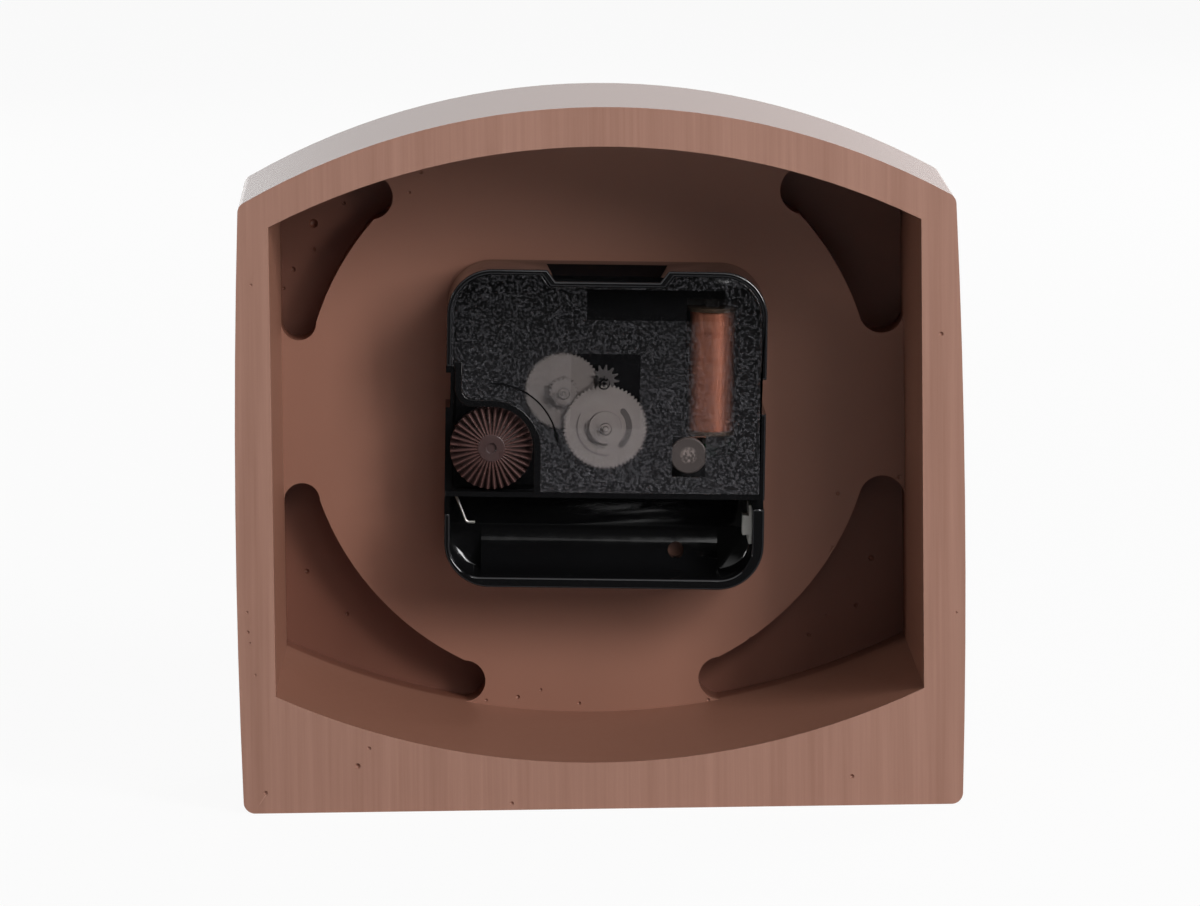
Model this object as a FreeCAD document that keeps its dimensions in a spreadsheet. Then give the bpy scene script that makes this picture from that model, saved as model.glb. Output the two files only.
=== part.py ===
import FreeCAD, Part
import math
import os
import re
import Sketcher

# Shelf clock with a squat arched case, open at the back, and a snap-in quartz movement.
# Millimetres, +Z up, origin at the middle of the foot of the case. The dial faces -Y.

# Driving sizes
SIZES = {
    # case: outline seen from the front, and its depth
    "base_width": 124.6,
    "waist_width": 125.8,
    "waist_height": 60.0,
    "shoulder_width": 123.4,
    "shoulder_height": 105.7,
    "case_height": 122.0,
    "case_depth": 50.0,
    "corner_round": 2.0,
    "front_round": 1.4,
    # case: hollow at the back, at its mouth and at its floor
    "hollow_depth": 36.0,
    "hollow_shift": 0.4,
    "mouth_width": 112.2,
    "mouth_low_corner": 20.4,
    "mouth_low_middle": 8.1,
    "mouth_high_corner": 102.0,
    "mouth_high_middle": 115.2,
    "web_width": 109.8,
    "web_low_corner": 23.6,
    "web_low_middle": 11.2,
    "web_high_corner": 99.8,
    "web_high_middle": 113.9,
    # case: boss round the movement and the four pockets outside it
    "boss_radius": 50.4,
    "boss_shift": 1.2,
    "boss_height": 65.8,
    "pocket_depth": 8.0,
    "low_pocket_side_height": 49.6,
    "low_pocket_side_bulge": 3.2,
    "low_pocket_tip": 22.5,
    "low_pocket_tip_bulge": 3.6,
    "high_pocket_side_height": 81.4,
    "high_pocket_side_bulge": 3.2,
    "high_pocket_tip": 37.5,
    "high_pocket_tip_bulge": 3.4,
    # case: dial recess at the front and the hole for the shaft
    "shaft_shift": -1.4,
    "shaft_height": 63.7,
    "recess_radius": 45.0,
    "web_thickness": 4.5,
    "shaft_hole_radius": 4.2,
    # bezel, lens and dial
    "bezel_radius": 47.0,
    "bezel_stand": 3.0,
    "bezel_tuck": 3.2,
    "bezel_lip": 4.4,
    "bezel_round": 1.6,
    "bezel_fit": 0.05,
    "lens_radius": 44.0,
    "lens_edge": 1.2,
    "lens_rise": 0.5,
    "lens_inset": 1.2,
    "dial_radius": 44.2,
    "dial_thickness": 0.8,
    # fixing on the threaded bushing
    "washer_radius": 6.6,
    "washer_thickness": 0.4,
    "nut_across_flats": 10.0,
    "nut_thickness": 2.2,
    "bushing_radius": 4.0,
    "bushing_bore": 2.72,
    "bushing_length": 9.2,
    "bushing_flange_radius": 6.0,
    "gasket_radius": 16.0,
    "gasket_gap": 0.2,
    "gasket_thickness": 1.0,
    # hands
    "hand_thickness": 0.4,
    "hour_hand_length": 23.0,
    "hour_hand_width": 3.4,
    "hour_hand_set": 10.2,
    "hour_hub_radius": 4.2,
    "minute_hand_length": 34.0,
    "minute_hand_width": 2.6,
    "minute_hand_set": 11.7,
    "minute_hub_radius": 3.2,
    "second_hand_length": 36.0,
    "second_hand_tail": 10.0,
    "second_hand_width": 0.9,
    "second_hand_set": 13.1,
    "second_hub_radius": 1.9,
    "hour_hand_turn": -55,
    "minute_hand_turn": 60,
    "second_hand_turn": 210,
    "hub_height": 0.9,
    "arbor_overhang": 0.35,
    # movement housing, turned a little round the shaft, as it was tightened
    "movement_turn": -1.5,
    "housing_width": 56.0,
    "housing_round": 8.0,
    "housing_thickness": 16.0,
    "housing_wall": 1.3,
    "housing_floor": 1.2,
    "bay_top": 12.0,
    "bay_foot": 26.2,
    "bay_left": 27.0,
    "bay_right": 25.9,
    "bay_round": 5.6,
    "partition": 0.9,
    "rim_width": 0.4,
    "cover_thickness": 1.2,
    "top_notch_width": 18.2,
    "top_notch_deep": 2.0,
    "top_notch_long": 10.0,
    "top_notch_slant": 1.5,
    "snap_notch_low": 3.1,
    "snap_notch_high": 9.2,
    "snap_notch_deep": 0.8,
    "left_grip_foot": 15.2,
    "right_grip_foot": 13.7,
    "grip_notch_deep": 5.0,
    "bay_hole_x": -13.0,
    "bay_hole_z": -22.9,
    "bay_hole_radius": 1.4,
    "bay_mark_x": 22.6,
    "bay_mark_z": -23.3,
    "bay_mark_radius": 1.4,
    "mark_depth": 0.2,
    "post_radius": 0.9,
    "rotor_post_height": 3.4,
    "stud_height": 2.6,
    # cover plate, its window for the stake and the well of the knob
    "cover_gap": 0.08,
    "stake_window_wide": 5.8,
    "stake_window_tall": 7.1,
    "well_radius": 8.5,
    "well_left": 25.25,
    "well_lip_height": 11.7,
    "well_ease": 2.05,
    "well_wall": 0.8,
    "well_floor_low": 10.4,
    "well_floor_high": 11.4,
    # arbors and levels of the wheels, measured back from the front face of the movement
    "arbor_radius": 0.3,
    "pivot_gap": 0.05,
    "intermediate_x": 7.4,
    "intermediate_z": 6.15,
    "rotor_module": 0.22,
    "rotor_angle": 164.8,
    "third_module": 0.22,
    "third_angle": 211.2,
    "motion_module": 0.35,
    "knob_x": 19.9,
    "knob_z": -3.6,
    "hour_wheel_low": 1.5,
    "hour_wheel_thick": 0.8,
    "hour_pipe_radius": 2.62,
    "motion_pinion_low": 1.4,
    "motion_pinion_long": 1.2,
    "motion_wheel_low": 2.9,
    "motion_wheel_thick": 0.7,
    "cannon_low": 2.7,
    "cannon_long": 1.1,
    "minute_arbor_radius": 1.6,
    "minute_neck_radius": 0.9,
    "centre_wheel_low": 4.1,
    "centre_wheel_thick": 0.6,
    "clutch_gap": 0.03,
    "third_pinion_low": 3.95,
    "third_pinion_long": 1.0,
    "third_wheel_low": 6.9,
    "third_wheel_thick": 0.6,
    "seconds_pinion_low": 6.7,
    "seconds_pinion_long": 1.1,
    "seconds_arbor_radius": 0.45,
    "plate_low": 8.1,
    "plate_thick": 1.0,
    "plate_gap": 0.5,
    "intermediate_wheel_low": 9.5,
    "intermediate_wheel_thick": 0.6,
    "rotor_pinion_low": 9.3,
    "rotor_pinion_long": 1.1,
    "intermediate_pinion_low": 10.5,
    "intermediate_pinion_long": 1.1,
    "seconds_wheel_low": 10.65,
    "seconds_wheel_thick": 0.7,
    "seconds_hub_radius": 2.8,
    "seconds_hub_high": 12.3,
    "top_pivot_high": 14.2,
    "pivot_boss_low": 13.2,
    "pivot_boss_radius": 1.0,
    # stepper motor
    "magnet_radius": 2.5,
    "magnet_low": 5.0,
    "magnet_long": 2.2,
    "pole_gap": 0.4,
    "pole_rim": 1.15,
    "stator_low": 5.2,
    "stator_thick": 1.0,
    "coil_x": -18.6,
    "coil_z": 9.8,
    "coil_radius": 3.9,
    "coil_long": 21.0,
    "bobbin_radius": 2.2,
    "flange_radius": 4.4,
    "flange_thick": 0.7,
    "core_width": 2.6,
    "core_thick": 1.0,
    "core_gap": 0.05,
    "stator_arm": 1.7,
    "stator_bar": 2.9,
    "stator_arm_gap": 0.2,
    # circuit board and what it carries
    "board_left": -26.2,
    "board_right": -8.6,
    "board_foot": -10.4,
    "board_top": -2.4,
    "board_low": 2.0,
    "board_thick": 0.8,
    "chip_x": -21.6,
    "chip_z": -6.4,
    "chip_radius": 2.2,
    "chip_rise": 1.0,
    "crystal_x": -18.6,
    "crystal_z": -9.1,
    "crystal_radius": 0.95,
    "crystal_long": 6.0,
    # stake that holds board and plate
    "stake_x": -14.6,
    "stake_z": -4.6,
    "stake_radius": 1.0,
    "stake_collar_radius": 1.6,
    "stake_head_low": 12.4,
    "stake_head_thick": 1.3,
    "stake_head_radius": 3.2,
    # knob and its stem
    "knob_radius": 7.25,
    "knob_low": 11.9,
    "knob_thick": 3.0,
    "knob_hub_radius": 2.36,
    "knob_dimple_radius": 0.9,
    "knob_dimple_deep": 0.4,
    "knob_ribs": 36,
    "knob_valley_deep": 0.75,
    "knob_rim_deep": 1.3,
    "stem_radius": 1.1,
    "setting_pinion_low": 2.75,
    "setting_pinion_thick": 1.0,
    # contacts in the battery bay
    "wire_radius": 0.25,
    "wire_start_x": 26.2,
    "wire_bend_x": 24.1,
    "wire_bend_z": -17.2,
    "wire_bend_radius": 0.7,
    "wire_toe": 1.5,
    "wire_level": 10.5,
    "contact_width": 6.8,
    "contact_top": -13.7,
    "contact_thick": 0.4,
    "contact_height": 9.5,
    "button_top": -15.5,
    "button_foot": -18.9,
    "button_stand": 1.1,
    "button_low": 5.6,
}

# Places worked out from the driving sizes
PLACES = {
    "back_y": "(case_depth + bezel_stand) / 2",
    "front_y": "back_y - case_depth",
    "web_y": "back_y - hollow_depth",
    "dial_seat_y": "web_y - web_thickness",
    "movement_y": "web_y + gasket_thickness",
    "housing_half": "housing_width / 2",
    "chamber_half": "housing_half - housing_wall",
    "chamber_round": "housing_round - housing_wall",
    "chamber_foot": "bay_top - partition",
    "cover_half": "chamber_half + rim_width - cover_gap",
    "cover_low": "housing_thickness - cover_thickness",
    "notch_half": "top_notch_width / 2",
    "stator_high": "stator_low + stator_thick",
    "coil_level": "stator_high + core_thick / 2",
    "coil_top": "coil_z + coil_long / 2",
    "coil_foot": "coil_z - coil_long / 2",
    "plate_high": "plate_low + plate_thick",
    "knob_high": "knob_low + knob_thick",
    "nut_level": "gasket_thickness + web_thickness + dial_thickness + washer_thickness",
}

# Counts of teeth and the form of a tooth, as shares of the module
TEETH = {
    "seconds wheel": 60,
    "intermediate pinion": 20,
    "intermediate wheel": 60,
    "rotor pinion": 6,
    "seconds pinion": 8,
    "third wheel": 60,
    "third pinion": 8,
    "centre wheel": 64,
    "cannon pinion": 12,
    "motion wheel": 36,
    "motion pinion": 10,
    "hour wheel": 40,
    "setting pinion": 32,
}
PRESSURE_ANGLE = math.radians(30)
TIP_SHARE = 0.7
ROOT_SHARE = 0.95
BACKLASH_SHARE = 0.1
SAME_SPOT_SHARE = 0.001

# Width of a hand's tip as a share of its foot, and how nearly an edge follows the Y axis
HAND_TIP_SHARE = 0.5
ALONG_Y_SHARE = 0.99

doc = FreeCAD.newDocument("shelf_clock")
sheet = doc.addObject("Spreadsheet::Sheet", "dims")
for row, (alias, number) in enumerate(SIZES.items(), start=1):
    sheet.set(f"A{row}", alias)
    sheet.set(f"B{row}", str(number))
    sheet.setAlias(f"B{row}", alias)
doc.recompute()


# Expressions: plain size names become cells, place names become their own formula
def formula(text):
    text = str(text)
    for _ in PLACES:
        text = re.sub(r"[a-z_]+", lambda hit: f"({PLACES[hit[0]]})" if hit[0] in PLACES else hit[0], text)
    return re.sub(r"[a-z_]+", lambda hit: f"dims.{hit[0]}" if hit[0] in SIZES else hit[0], text)


def value(text):
    number = sheet.evalExpression(formula(text))
    return float(getattr(number, "Value", number))


def bind(thing, **formulas):
    for name, text in formulas.items():
        thing.setExpression(name.replace("__", "."), formula(text))


def place(thing, x="0", y="0", z="0"):
    bind(thing, Placement__Base__x=x, Placement__Base__y=y, Placement__Base__z=z)


def place_on_shaft(thing):
    place(thing, "shaft_shift", "movement_y", "shaft_height")


# The movement's own frame: the shaft's axis and the front face of the movement, turned round the shaft
def place_in_movement(thing, x="0", y="0", z="0"):
    across = f"({x}) * cos(movement_turn) + ({z}) * sin(movement_turn)"
    up = f"({z}) * cos(movement_turn) - ({x}) * sin(movement_turn)"
    place(thing, f"shaft_shift + {across}", f"movement_y + {y}", f"shaft_height + {up}")
    own_turn = thing.Placement.Rotation
    thing.Placement.Rotation = FreeCAD.Rotation(FreeCAD.Vector(0, 1, 0), value("movement_turn")) * own_turn
    if own_turn.isIdentity():
        bind(thing, Placement__Rotation__Angle="movement_turn")


NODES = []


def new_body(name):
    body = doc.addObject("PartDesign::Body", name)
    body.Label = name
    NODES.append(body)
    return body


# Sketches: a loop is a list of points, and an entry of three formulas more is an arc's way point
def circle(x, z, radius):
    return ("circle", x, z, radius)


def rectangle(left, foot, right, top):
    return [(left, foot), (right, foot), (right, top), (left, top)]


def rounded_corner(x, z, sign_x, sign_z, radius, turn_first="x"):
    """Start, way point and end of a corner's arc, going round anticlockwise."""
    along_x = (f"{x} - {sign_x} * ({radius})", z)
    along_z = (x, f"{z} - {sign_z} * ({radius})")
    way = (f"{x} - {sign_x} * ({radius}) * (1 - sqrt(0.5))", f"{z} - {sign_z} * ({radius}) * (1 - sqrt(0.5))")
    start, end = (along_x, along_z) if turn_first == "x" else (along_z, along_x)
    return [start + way, end]


def draw_circle(sketch, x, z, radius):
    centre = FreeCAD.Vector(value(x), value(z), 0)
    index = sketch.addGeometry(Part.Circle(centre, FreeCAD.Vector(0, 0, 1), value(radius)), False)
    rule = sketch.addConstraint(Sketcher.Constraint("Radius", index, centre.Length + value(radius)))
    sketch.setExpression(f"Constraints[{rule}]", formula(radius))
    pin_point(sketch, index, 3, x, z)


def pin_point(sketch, index, end, x, z):
    for kind, text in (("DistanceX", x), ("DistanceY", z)):
        rule = sketch.addConstraint(Sketcher.Constraint(kind, -1, 1, index, end, value(text)))
        sketch.setExpression(f"Constraints[{rule}]", formula(text))


def draw_loop(sketch, points):
    corners = [FreeCAD.Vector(value(entry[0]), value(entry[1]), 0) for entry in points]
    first = sketch.GeometryCount
    for number, entry in enumerate(points):
        start = corners[number]
        end = corners[(number + 1) % len(corners)]
        if len(entry) == 2:
            sketch.addGeometry(Part.LineSegment(start, end), False)
        else:
            way = FreeCAD.Vector(value(entry[2]), value(entry[3]), 0)
            anticlockwise = (way - start).cross(end - way).z > 0
            ends = (start, way, end) if anticlockwise else (end, way, start)
            sketch.addGeometry(Part.Arc(*ends), False)
    for number, entry in enumerate(points):
        index = first + number
        following = first + (number + 1) % len(points)
        pin_start(sketch, index, corners[number], entry)
        join_ends(sketch, index, following, corners[(number + 1) % len(corners)])
    for number, entry in enumerate(points):
        if len(entry) == 4:
            way = FreeCAD.Vector(value(entry[2]), value(entry[3]), 0)
            spot = sketch.addGeometry(Part.Point(way), True)
            pin_point(sketch, spot, 1, entry[2], entry[3])
            sketch.addConstraint(Sketcher.Constraint("PointOnObject", spot, 1, first + number))


def end_at(sketch, index, spot):
    """Which end of an edge lies at a spot: 1 for its start, 2 for its end."""
    edge = sketch.Geometry[index]
    return 1 if edge.StartPoint.distanceToPoint(spot) < edge.EndPoint.distanceToPoint(spot) else 2


def pin_start(sketch, index, spot, entry):
    pin_point(sketch, index, end_at(sketch, index, spot), entry[0], entry[1])


def join_ends(sketch, index, following, spot):
    pair = (index, end_at(sketch, index, spot), following, end_at(sketch, following, spot))
    sketch.addConstraint(Sketcher.Constraint("Coincident", *pair))


def sketch_on(body, name, loops, level, role="XZ_Plane"):
    sketch = body.newObject("Sketcher::SketchObject", f"{body.Name}_{name}_sketch")
    plane = [part for part in body.Origin.OriginFeatures if part.Role == role][0]
    sketch.AttachmentSupport = [(plane, "")]
    sketch.MapMode = "FlatFace"
    away = f"-({level})" if role == "XZ_Plane" else level
    sketch.setExpression(".AttachmentOffset.Base.z", formula(away))
    for loop in loops:
        if loop[0] == "circle":
            draw_circle(sketch, *loop[1:])
        else:
            draw_loop(sketch, loop)
    sketch.Visibility = False
    return sketch


def pad(body, name, loops, level, length):
    """Adds the loops' shape from a level back along +Y by a length."""
    feature = body.newObject("PartDesign::Pad", f"{body.Name}_{name}")
    feature.Profile = sketch_on(body, name, loops, level)
    feature.Reversed = True
    feature.setExpression("Length", formula(length))
    doc.recompute()
    return feature


def pocket(body, name, loops, level, length):
    """Cuts the loops' shape from a level back along +Y by a length."""
    before = body.Shape.Volume
    feature = body.newObject("PartDesign::Pocket", f"{body.Name}_{name}")
    feature.Profile = sketch_on(body, name, loops, level)
    feature.setExpression("Length", formula(length))
    doc.recompute()
    if body.Shape.Volume >= before:
        raise ValueError(f"{feature.Name} cuts nothing")
    return feature


def pad_along_x(body, name, loop, start, length):
    """Adds a loop of (y, z) from a place on the X axis along +X by a length."""
    feature = body.newObject("PartDesign::Pad", f"{body.Name}_{name}")
    feature.Profile = sketch_on(body, name, [loop], start, role="YZ_Plane")
    feature.setExpression("Length", formula(length))
    doc.recompute()
    return feature


def revolve(body, name, loop):
    """Turns a loop of (distance from the axis, y) round the body's Y axis."""
    feature = body.newObject("PartDesign::Revolution", f"{body.Name}_{name}")
    sketch = sketch_on(body, name, [loop], "0", role="XY_Plane")
    feature.Profile = sketch
    feature.ReferenceAxis = (sketch, ["V_Axis"])
    feature.Angle = 360
    doc.recompute()
    return feature


def edges_where(shape, test):
    return [f"Edge{number}" for number, edge in enumerate(shape.Edges, start=1) if test(edge)]


def fillet(body, name, base, edges, radius):
    feature = body.newObject("PartDesign::Fillet", f"{body.Name}_{name}")
    feature.Base = (base, edges)
    feature.setExpression("Radius", formula(radius))
    doc.recompute()
    return feature


# Case
def hollow_outline(width, low_corner, low_middle, high_corner, high_middle):
    left = f"hollow_shift - {width} / 2"
    right = f"hollow_shift + {width} / 2"
    return [
        (left, low_corner, "hollow_shift", low_middle),
        (right, low_corner),
        (right, high_corner, "hollow_shift", high_middle),
        (left, high_corner),
    ]


def arc_height(x, corner, middle, width):
    """Height at x of the arc through two corners at one height and a middle point."""
    rise = f"({middle} - {corner})"
    radius = f"((pow({width} / 2; 2) + pow({rise}; 2)) / (2 * abs({rise})))"
    sag = f"({radius} - sqrt(pow({radius}; 2) - pow({x} - hollow_shift; 2)))"
    return f"({middle} - {sag} * {rise} / abs({rise}))"


def boss_x(z, side):
    return f"(boss_shift + {side} * sqrt(pow(boss_radius; 2) - pow({z} - boss_height; 2)))"


def boss_z(x, side):
    return f"(boss_height + {side} * sqrt(pow(boss_radius; 2) - pow({x} - boss_shift; 2)))"


def pocket_outline(side, level, side_height, side_bulge, tip, tip_bulge, corner, middle):
    """One corner pocket: side is +1 or -1 along X, level is +1 or -1 along Z."""
    wall_x = f"(hollow_shift + {side} * web_width / 2)"
    tip_x = f"(boss_shift + {side} * {tip})"
    corner_z = arc_height(wall_x, corner, middle, "web_width")
    tip_wall_z = arc_height(tip_x, corner, middle, "web_width")
    tip_boss_z = boss_z(tip_x, level)
    side_boss_x = boss_x(side_height, side)
    bend_z = f"(({side_height} + {tip_boss_z}) / 2)"
    bend_x = boss_x(bend_z, side)
    between_x = f"(({wall_x} + {tip_x}) / 2)"
    between_z = arc_height(between_x, corner, middle, "web_width")
    side_end = (f"(({wall_x} + {side_boss_x}) / 2)", f"({side_height} - {level} * {side_bulge})")
    tip_end = (f"({tip_x} - {side} * {tip_bulge})", f"(({tip_wall_z} + {tip_boss_z}) / 2)")
    return [
        (wall_x, corner_z),
        (wall_x, side_height, *side_end),
        (side_boss_x, side_height, bend_x, bend_z),
        (tip_x, tip_boss_z, *tip_end),
        (tip_x, tip_wall_z, between_x, between_z),
    ]


def make_case():
    body = new_body("case_body")
    outline = [
        ("-base_width / 2", "0"),
        ("base_width / 2", "0", "waist_width / 2", "waist_height"),
        ("shoulder_width / 2", "shoulder_height", "0", "case_height"),
        ("-shoulder_width / 2", "shoulder_height", "-waist_width / 2", "waist_height"),
    ]
    block = pad(body, "block", [outline], "front_y", "case_depth")

    def runs_back(edge):
        return abs(edge.tangentAt(edge.FirstParameter).y) > ALONG_Y_SHARE

    def lies_in_front(edge):
        return edge.BoundBox.YMax < value("front_y + corner_round / 2")

    long_edges = edges_where(block.Shape, runs_back)
    corners = fillet(body, "corners", block, long_edges, "corner_round")
    fillet(body, "front_edge", corners, edges_where(corners.Shape, lies_in_front), "front_round")
    mouth = hollow_outline("mouth_width", "mouth_low_corner", "mouth_low_middle",
                           "mouth_high_corner", "mouth_high_middle")
    web = hollow_outline("web_width", "web_low_corner", "web_low_middle",
                         "web_high_corner", "web_high_middle")
    hollow = body.newObject("PartDesign::SubtractiveLoft", "case_body_hollow")
    hollow.Profile = sketch_on(body, "mouth", [mouth], "back_y")
    hollow.Sections = [(sketch_on(body, "web", [web], "web_y"), [""])]
    hollow.Ruled = True
    doc.recompute()
    for side, word in ((1, "left"), (-1, "right")):
        low = pocket_outline(side, -1, "low_pocket_side_height", "low_pocket_side_bulge", "low_pocket_tip",
                             "low_pocket_tip_bulge", "web_low_corner", "web_low_middle")
        high = pocket_outline(side, 1, "high_pocket_side_height", "high_pocket_side_bulge", "high_pocket_tip",
                              "high_pocket_tip_bulge", "web_high_corner", "web_high_middle")
        pocket(body, f"low_{word}_pocket", [low], "web_y - pocket_depth", "pocket_depth")
        pocket(body, f"high_{word}_pocket", [high], "web_y - pocket_depth", "pocket_depth")
    recess = [circle("shaft_shift", "shaft_height", "recess_radius")]
    pocket(body, "recess", recess, "front_y", "dial_seat_y - front_y")
    hole = [circle("shaft_shift", "shaft_height", "shaft_hole_radius")]
    pocket(body, "shaft_hole", hole, "dial_seat_y", "web_thickness")


# Bezel, lens and dial
def make_front():
    bezel = new_body("bezel")
    place(bezel, "shaft_shift", "front_y", "shaft_height")
    spigot = "(recess_radius - bezel_fit)"
    bore = "(recess_radius - bezel_lip)"
    seat = "(lens_radius + bezel_fit)"
    seat_y = "(-lens_inset)"
    revolve(bezel, "ring", [
        (spigot, "0"),
        (spigot, "bezel_tuck"),
        (seat, "bezel_tuck"),
        (seat, seat_y),
        (bore, seat_y),
        (bore, "-bezel_stand"),
        ("bezel_radius - bezel_round", "-bezel_stand",
         "bezel_radius - bezel_round * (1 - sqrt(0.5))", "-bezel_stand + bezel_round * (1 - sqrt(0.5))"),
        ("bezel_radius", "-bezel_stand + bezel_round"),
        ("bezel_radius", "0"),
    ])
    lens = new_body("lens")
    place(lens, "shaft_shift", "front_y - lens_inset", "shaft_height")
    chord = "(recess_radius - bezel_lip - bezel_fit)"
    dome = f"((pow({chord}; 2) + pow(lens_rise; 2)) / (2 * lens_rise))"
    middle = f"({chord} / 2)"
    middle_y = f"(-lens_rise + {dome} - sqrt(pow({dome}; 2) - pow({middle}; 2)))"
    revolve(lens, "glass", [
        ("0", "lens_edge"),
        ("0", "-lens_rise", middle, middle_y),
        (chord, "0"),
        ("lens_radius", "0"),
        ("lens_radius", "lens_edge"),
    ])
    dial = new_body("dial")
    place(dial, "shaft_shift", "dial_seat_y - dial_thickness", "shaft_height")
    pad(dial, "disc", [circle("0", "0", "dial_radius"), circle("0", "0", "shaft_hole_radius")], "0",
        "dial_thickness")


# Fixing on the shaft: gasket behind the web, washer and nut on the dial
def make_fixing():
    gasket = new_body("rubber_gasket")
    place(gasket, "shaft_shift", "web_y", "shaft_height")
    gasket_bore = circle("0", "0", "bushing_flange_radius + gasket_gap")
    pad(gasket, "ring", [circle("0", "0", "gasket_radius"), gasket_bore], "0", "gasket_thickness")
    bushing = new_body("threaded_bushing")
    place_on_shaft(bushing)
    pad(bushing, "tube", [circle("0", "0", "bushing_radius"), circle("0", "0", "bushing_bore")],
        "-bushing_length", "bushing_length")
    pad(bushing, "flange", [circle("0", "0", "bushing_flange_radius"), circle("0", "0", "bushing_bore")],
        "-gasket_thickness", "gasket_thickness")
    washer = new_body("shaft_washer")
    place_on_shaft(washer)
    pad(washer, "ring", [circle("0", "0", "washer_radius"), circle("0", "0", "bushing_radius + bezel_fit")],
        "-nut_level", "washer_thickness")
    nut = new_body("shaft_nut")
    place_on_shaft(nut)
    corner = "(nut_across_flats / sqrt(3))"
    hexagon = [(f"{corner} * cos({60 * number})", f"{corner} * sin({60 * number})") for number in range(6)]
    pad(nut, "hexagon", [hexagon, circle("0", "0", "bushing_radius + bezel_fit / 2")],
        "-nut_level - nut_thickness", "nut_thickness")


# Hands, at ten past ten, with the second hand at thirty five
def hand_outline(length, width, tail, turn):
    """A tapering hand that points up, turned clockwise as seen from the front."""
    spots = [(f"-{width} / 2", f"-{tail}"), (f"{width} / 2", f"-{tail}"),
             (f"{width} / 2 * {HAND_TIP_SHARE}", length), (f"-{width} / 2 * {HAND_TIP_SHARE}", length)]
    return [(f"({x}) * cos({turn}) + ({z}) * sin({turn})", f"({z}) * cos({turn}) - ({x}) * sin({turn})")
            for x, z in spots]


def make_hand(name, length, width, tail, turn, level, hub_radius, bore):
    body = new_body(name)
    place_on_shaft(body)
    pad(body, "blade", [hand_outline(length, width, tail, turn)], f"-{level}", "hand_thickness")
    pad(body, "hub", [circle("0", "0", hub_radius)], f"-{level}", "hub_height")
    pocket(body, "bore", [circle("0", "0", bore)], f"-{level}", "hub_height")


def make_hands():
    make_hand("hour_hand", "hour_hand_length", "hour_hand_width", "0", "hour_hand_turn", "hour_hand_set",
              "hour_hub_radius", "hour_pipe_radius")
    make_hand("minute_hand", "minute_hand_length", "minute_hand_width", "0", "minute_hand_turn",
              "minute_hand_set", "minute_hub_radius", "minute_arbor_radius")
    make_hand("second_hand", "second_hand_length", "second_hand_width", "second_hand_tail",
              "second_hand_turn", "second_hand_set", "second_hub_radius", "seconds_arbor_radius")


# Movement housing
def rounded_box(half, radius, foot=None):
    """A square's outline about the shaft with rounded corners, or square at a foot of its own."""
    top_right = rounded_corner(half, half, 1, 1, radius, "z")
    top_left = rounded_corner(f"-({half})", half, -1, 1, radius, "x")
    if foot:
        return [(f"-({half})", f"-({foot})"), (half, f"-({foot})"), *top_right, *top_left]
    low_left = rounded_corner(f"-({half})", f"-({half})", -1, -1, radius, "z")
    low_right = rounded_corner(half, f"-({half})", 1, -1, radius, "x")
    return [*low_left, *low_right, *top_right, *top_left]


def notched_box(half, radius, foot, notch_half, notch_deep):
    """The same with a step down in the middle of its top edge, with slanting sides."""
    outline = rounded_box(half, radius, foot)
    step = [
        (f"{notch_half} + top_notch_slant", half),
        (notch_half, f"{half} - ({notch_deep})"),
        (f"-({notch_half})", f"{half} - ({notch_deep})"),
        (f"-({notch_half}) - top_notch_slant", half),
    ]
    return outline[:4] + step + outline[4:]


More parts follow.
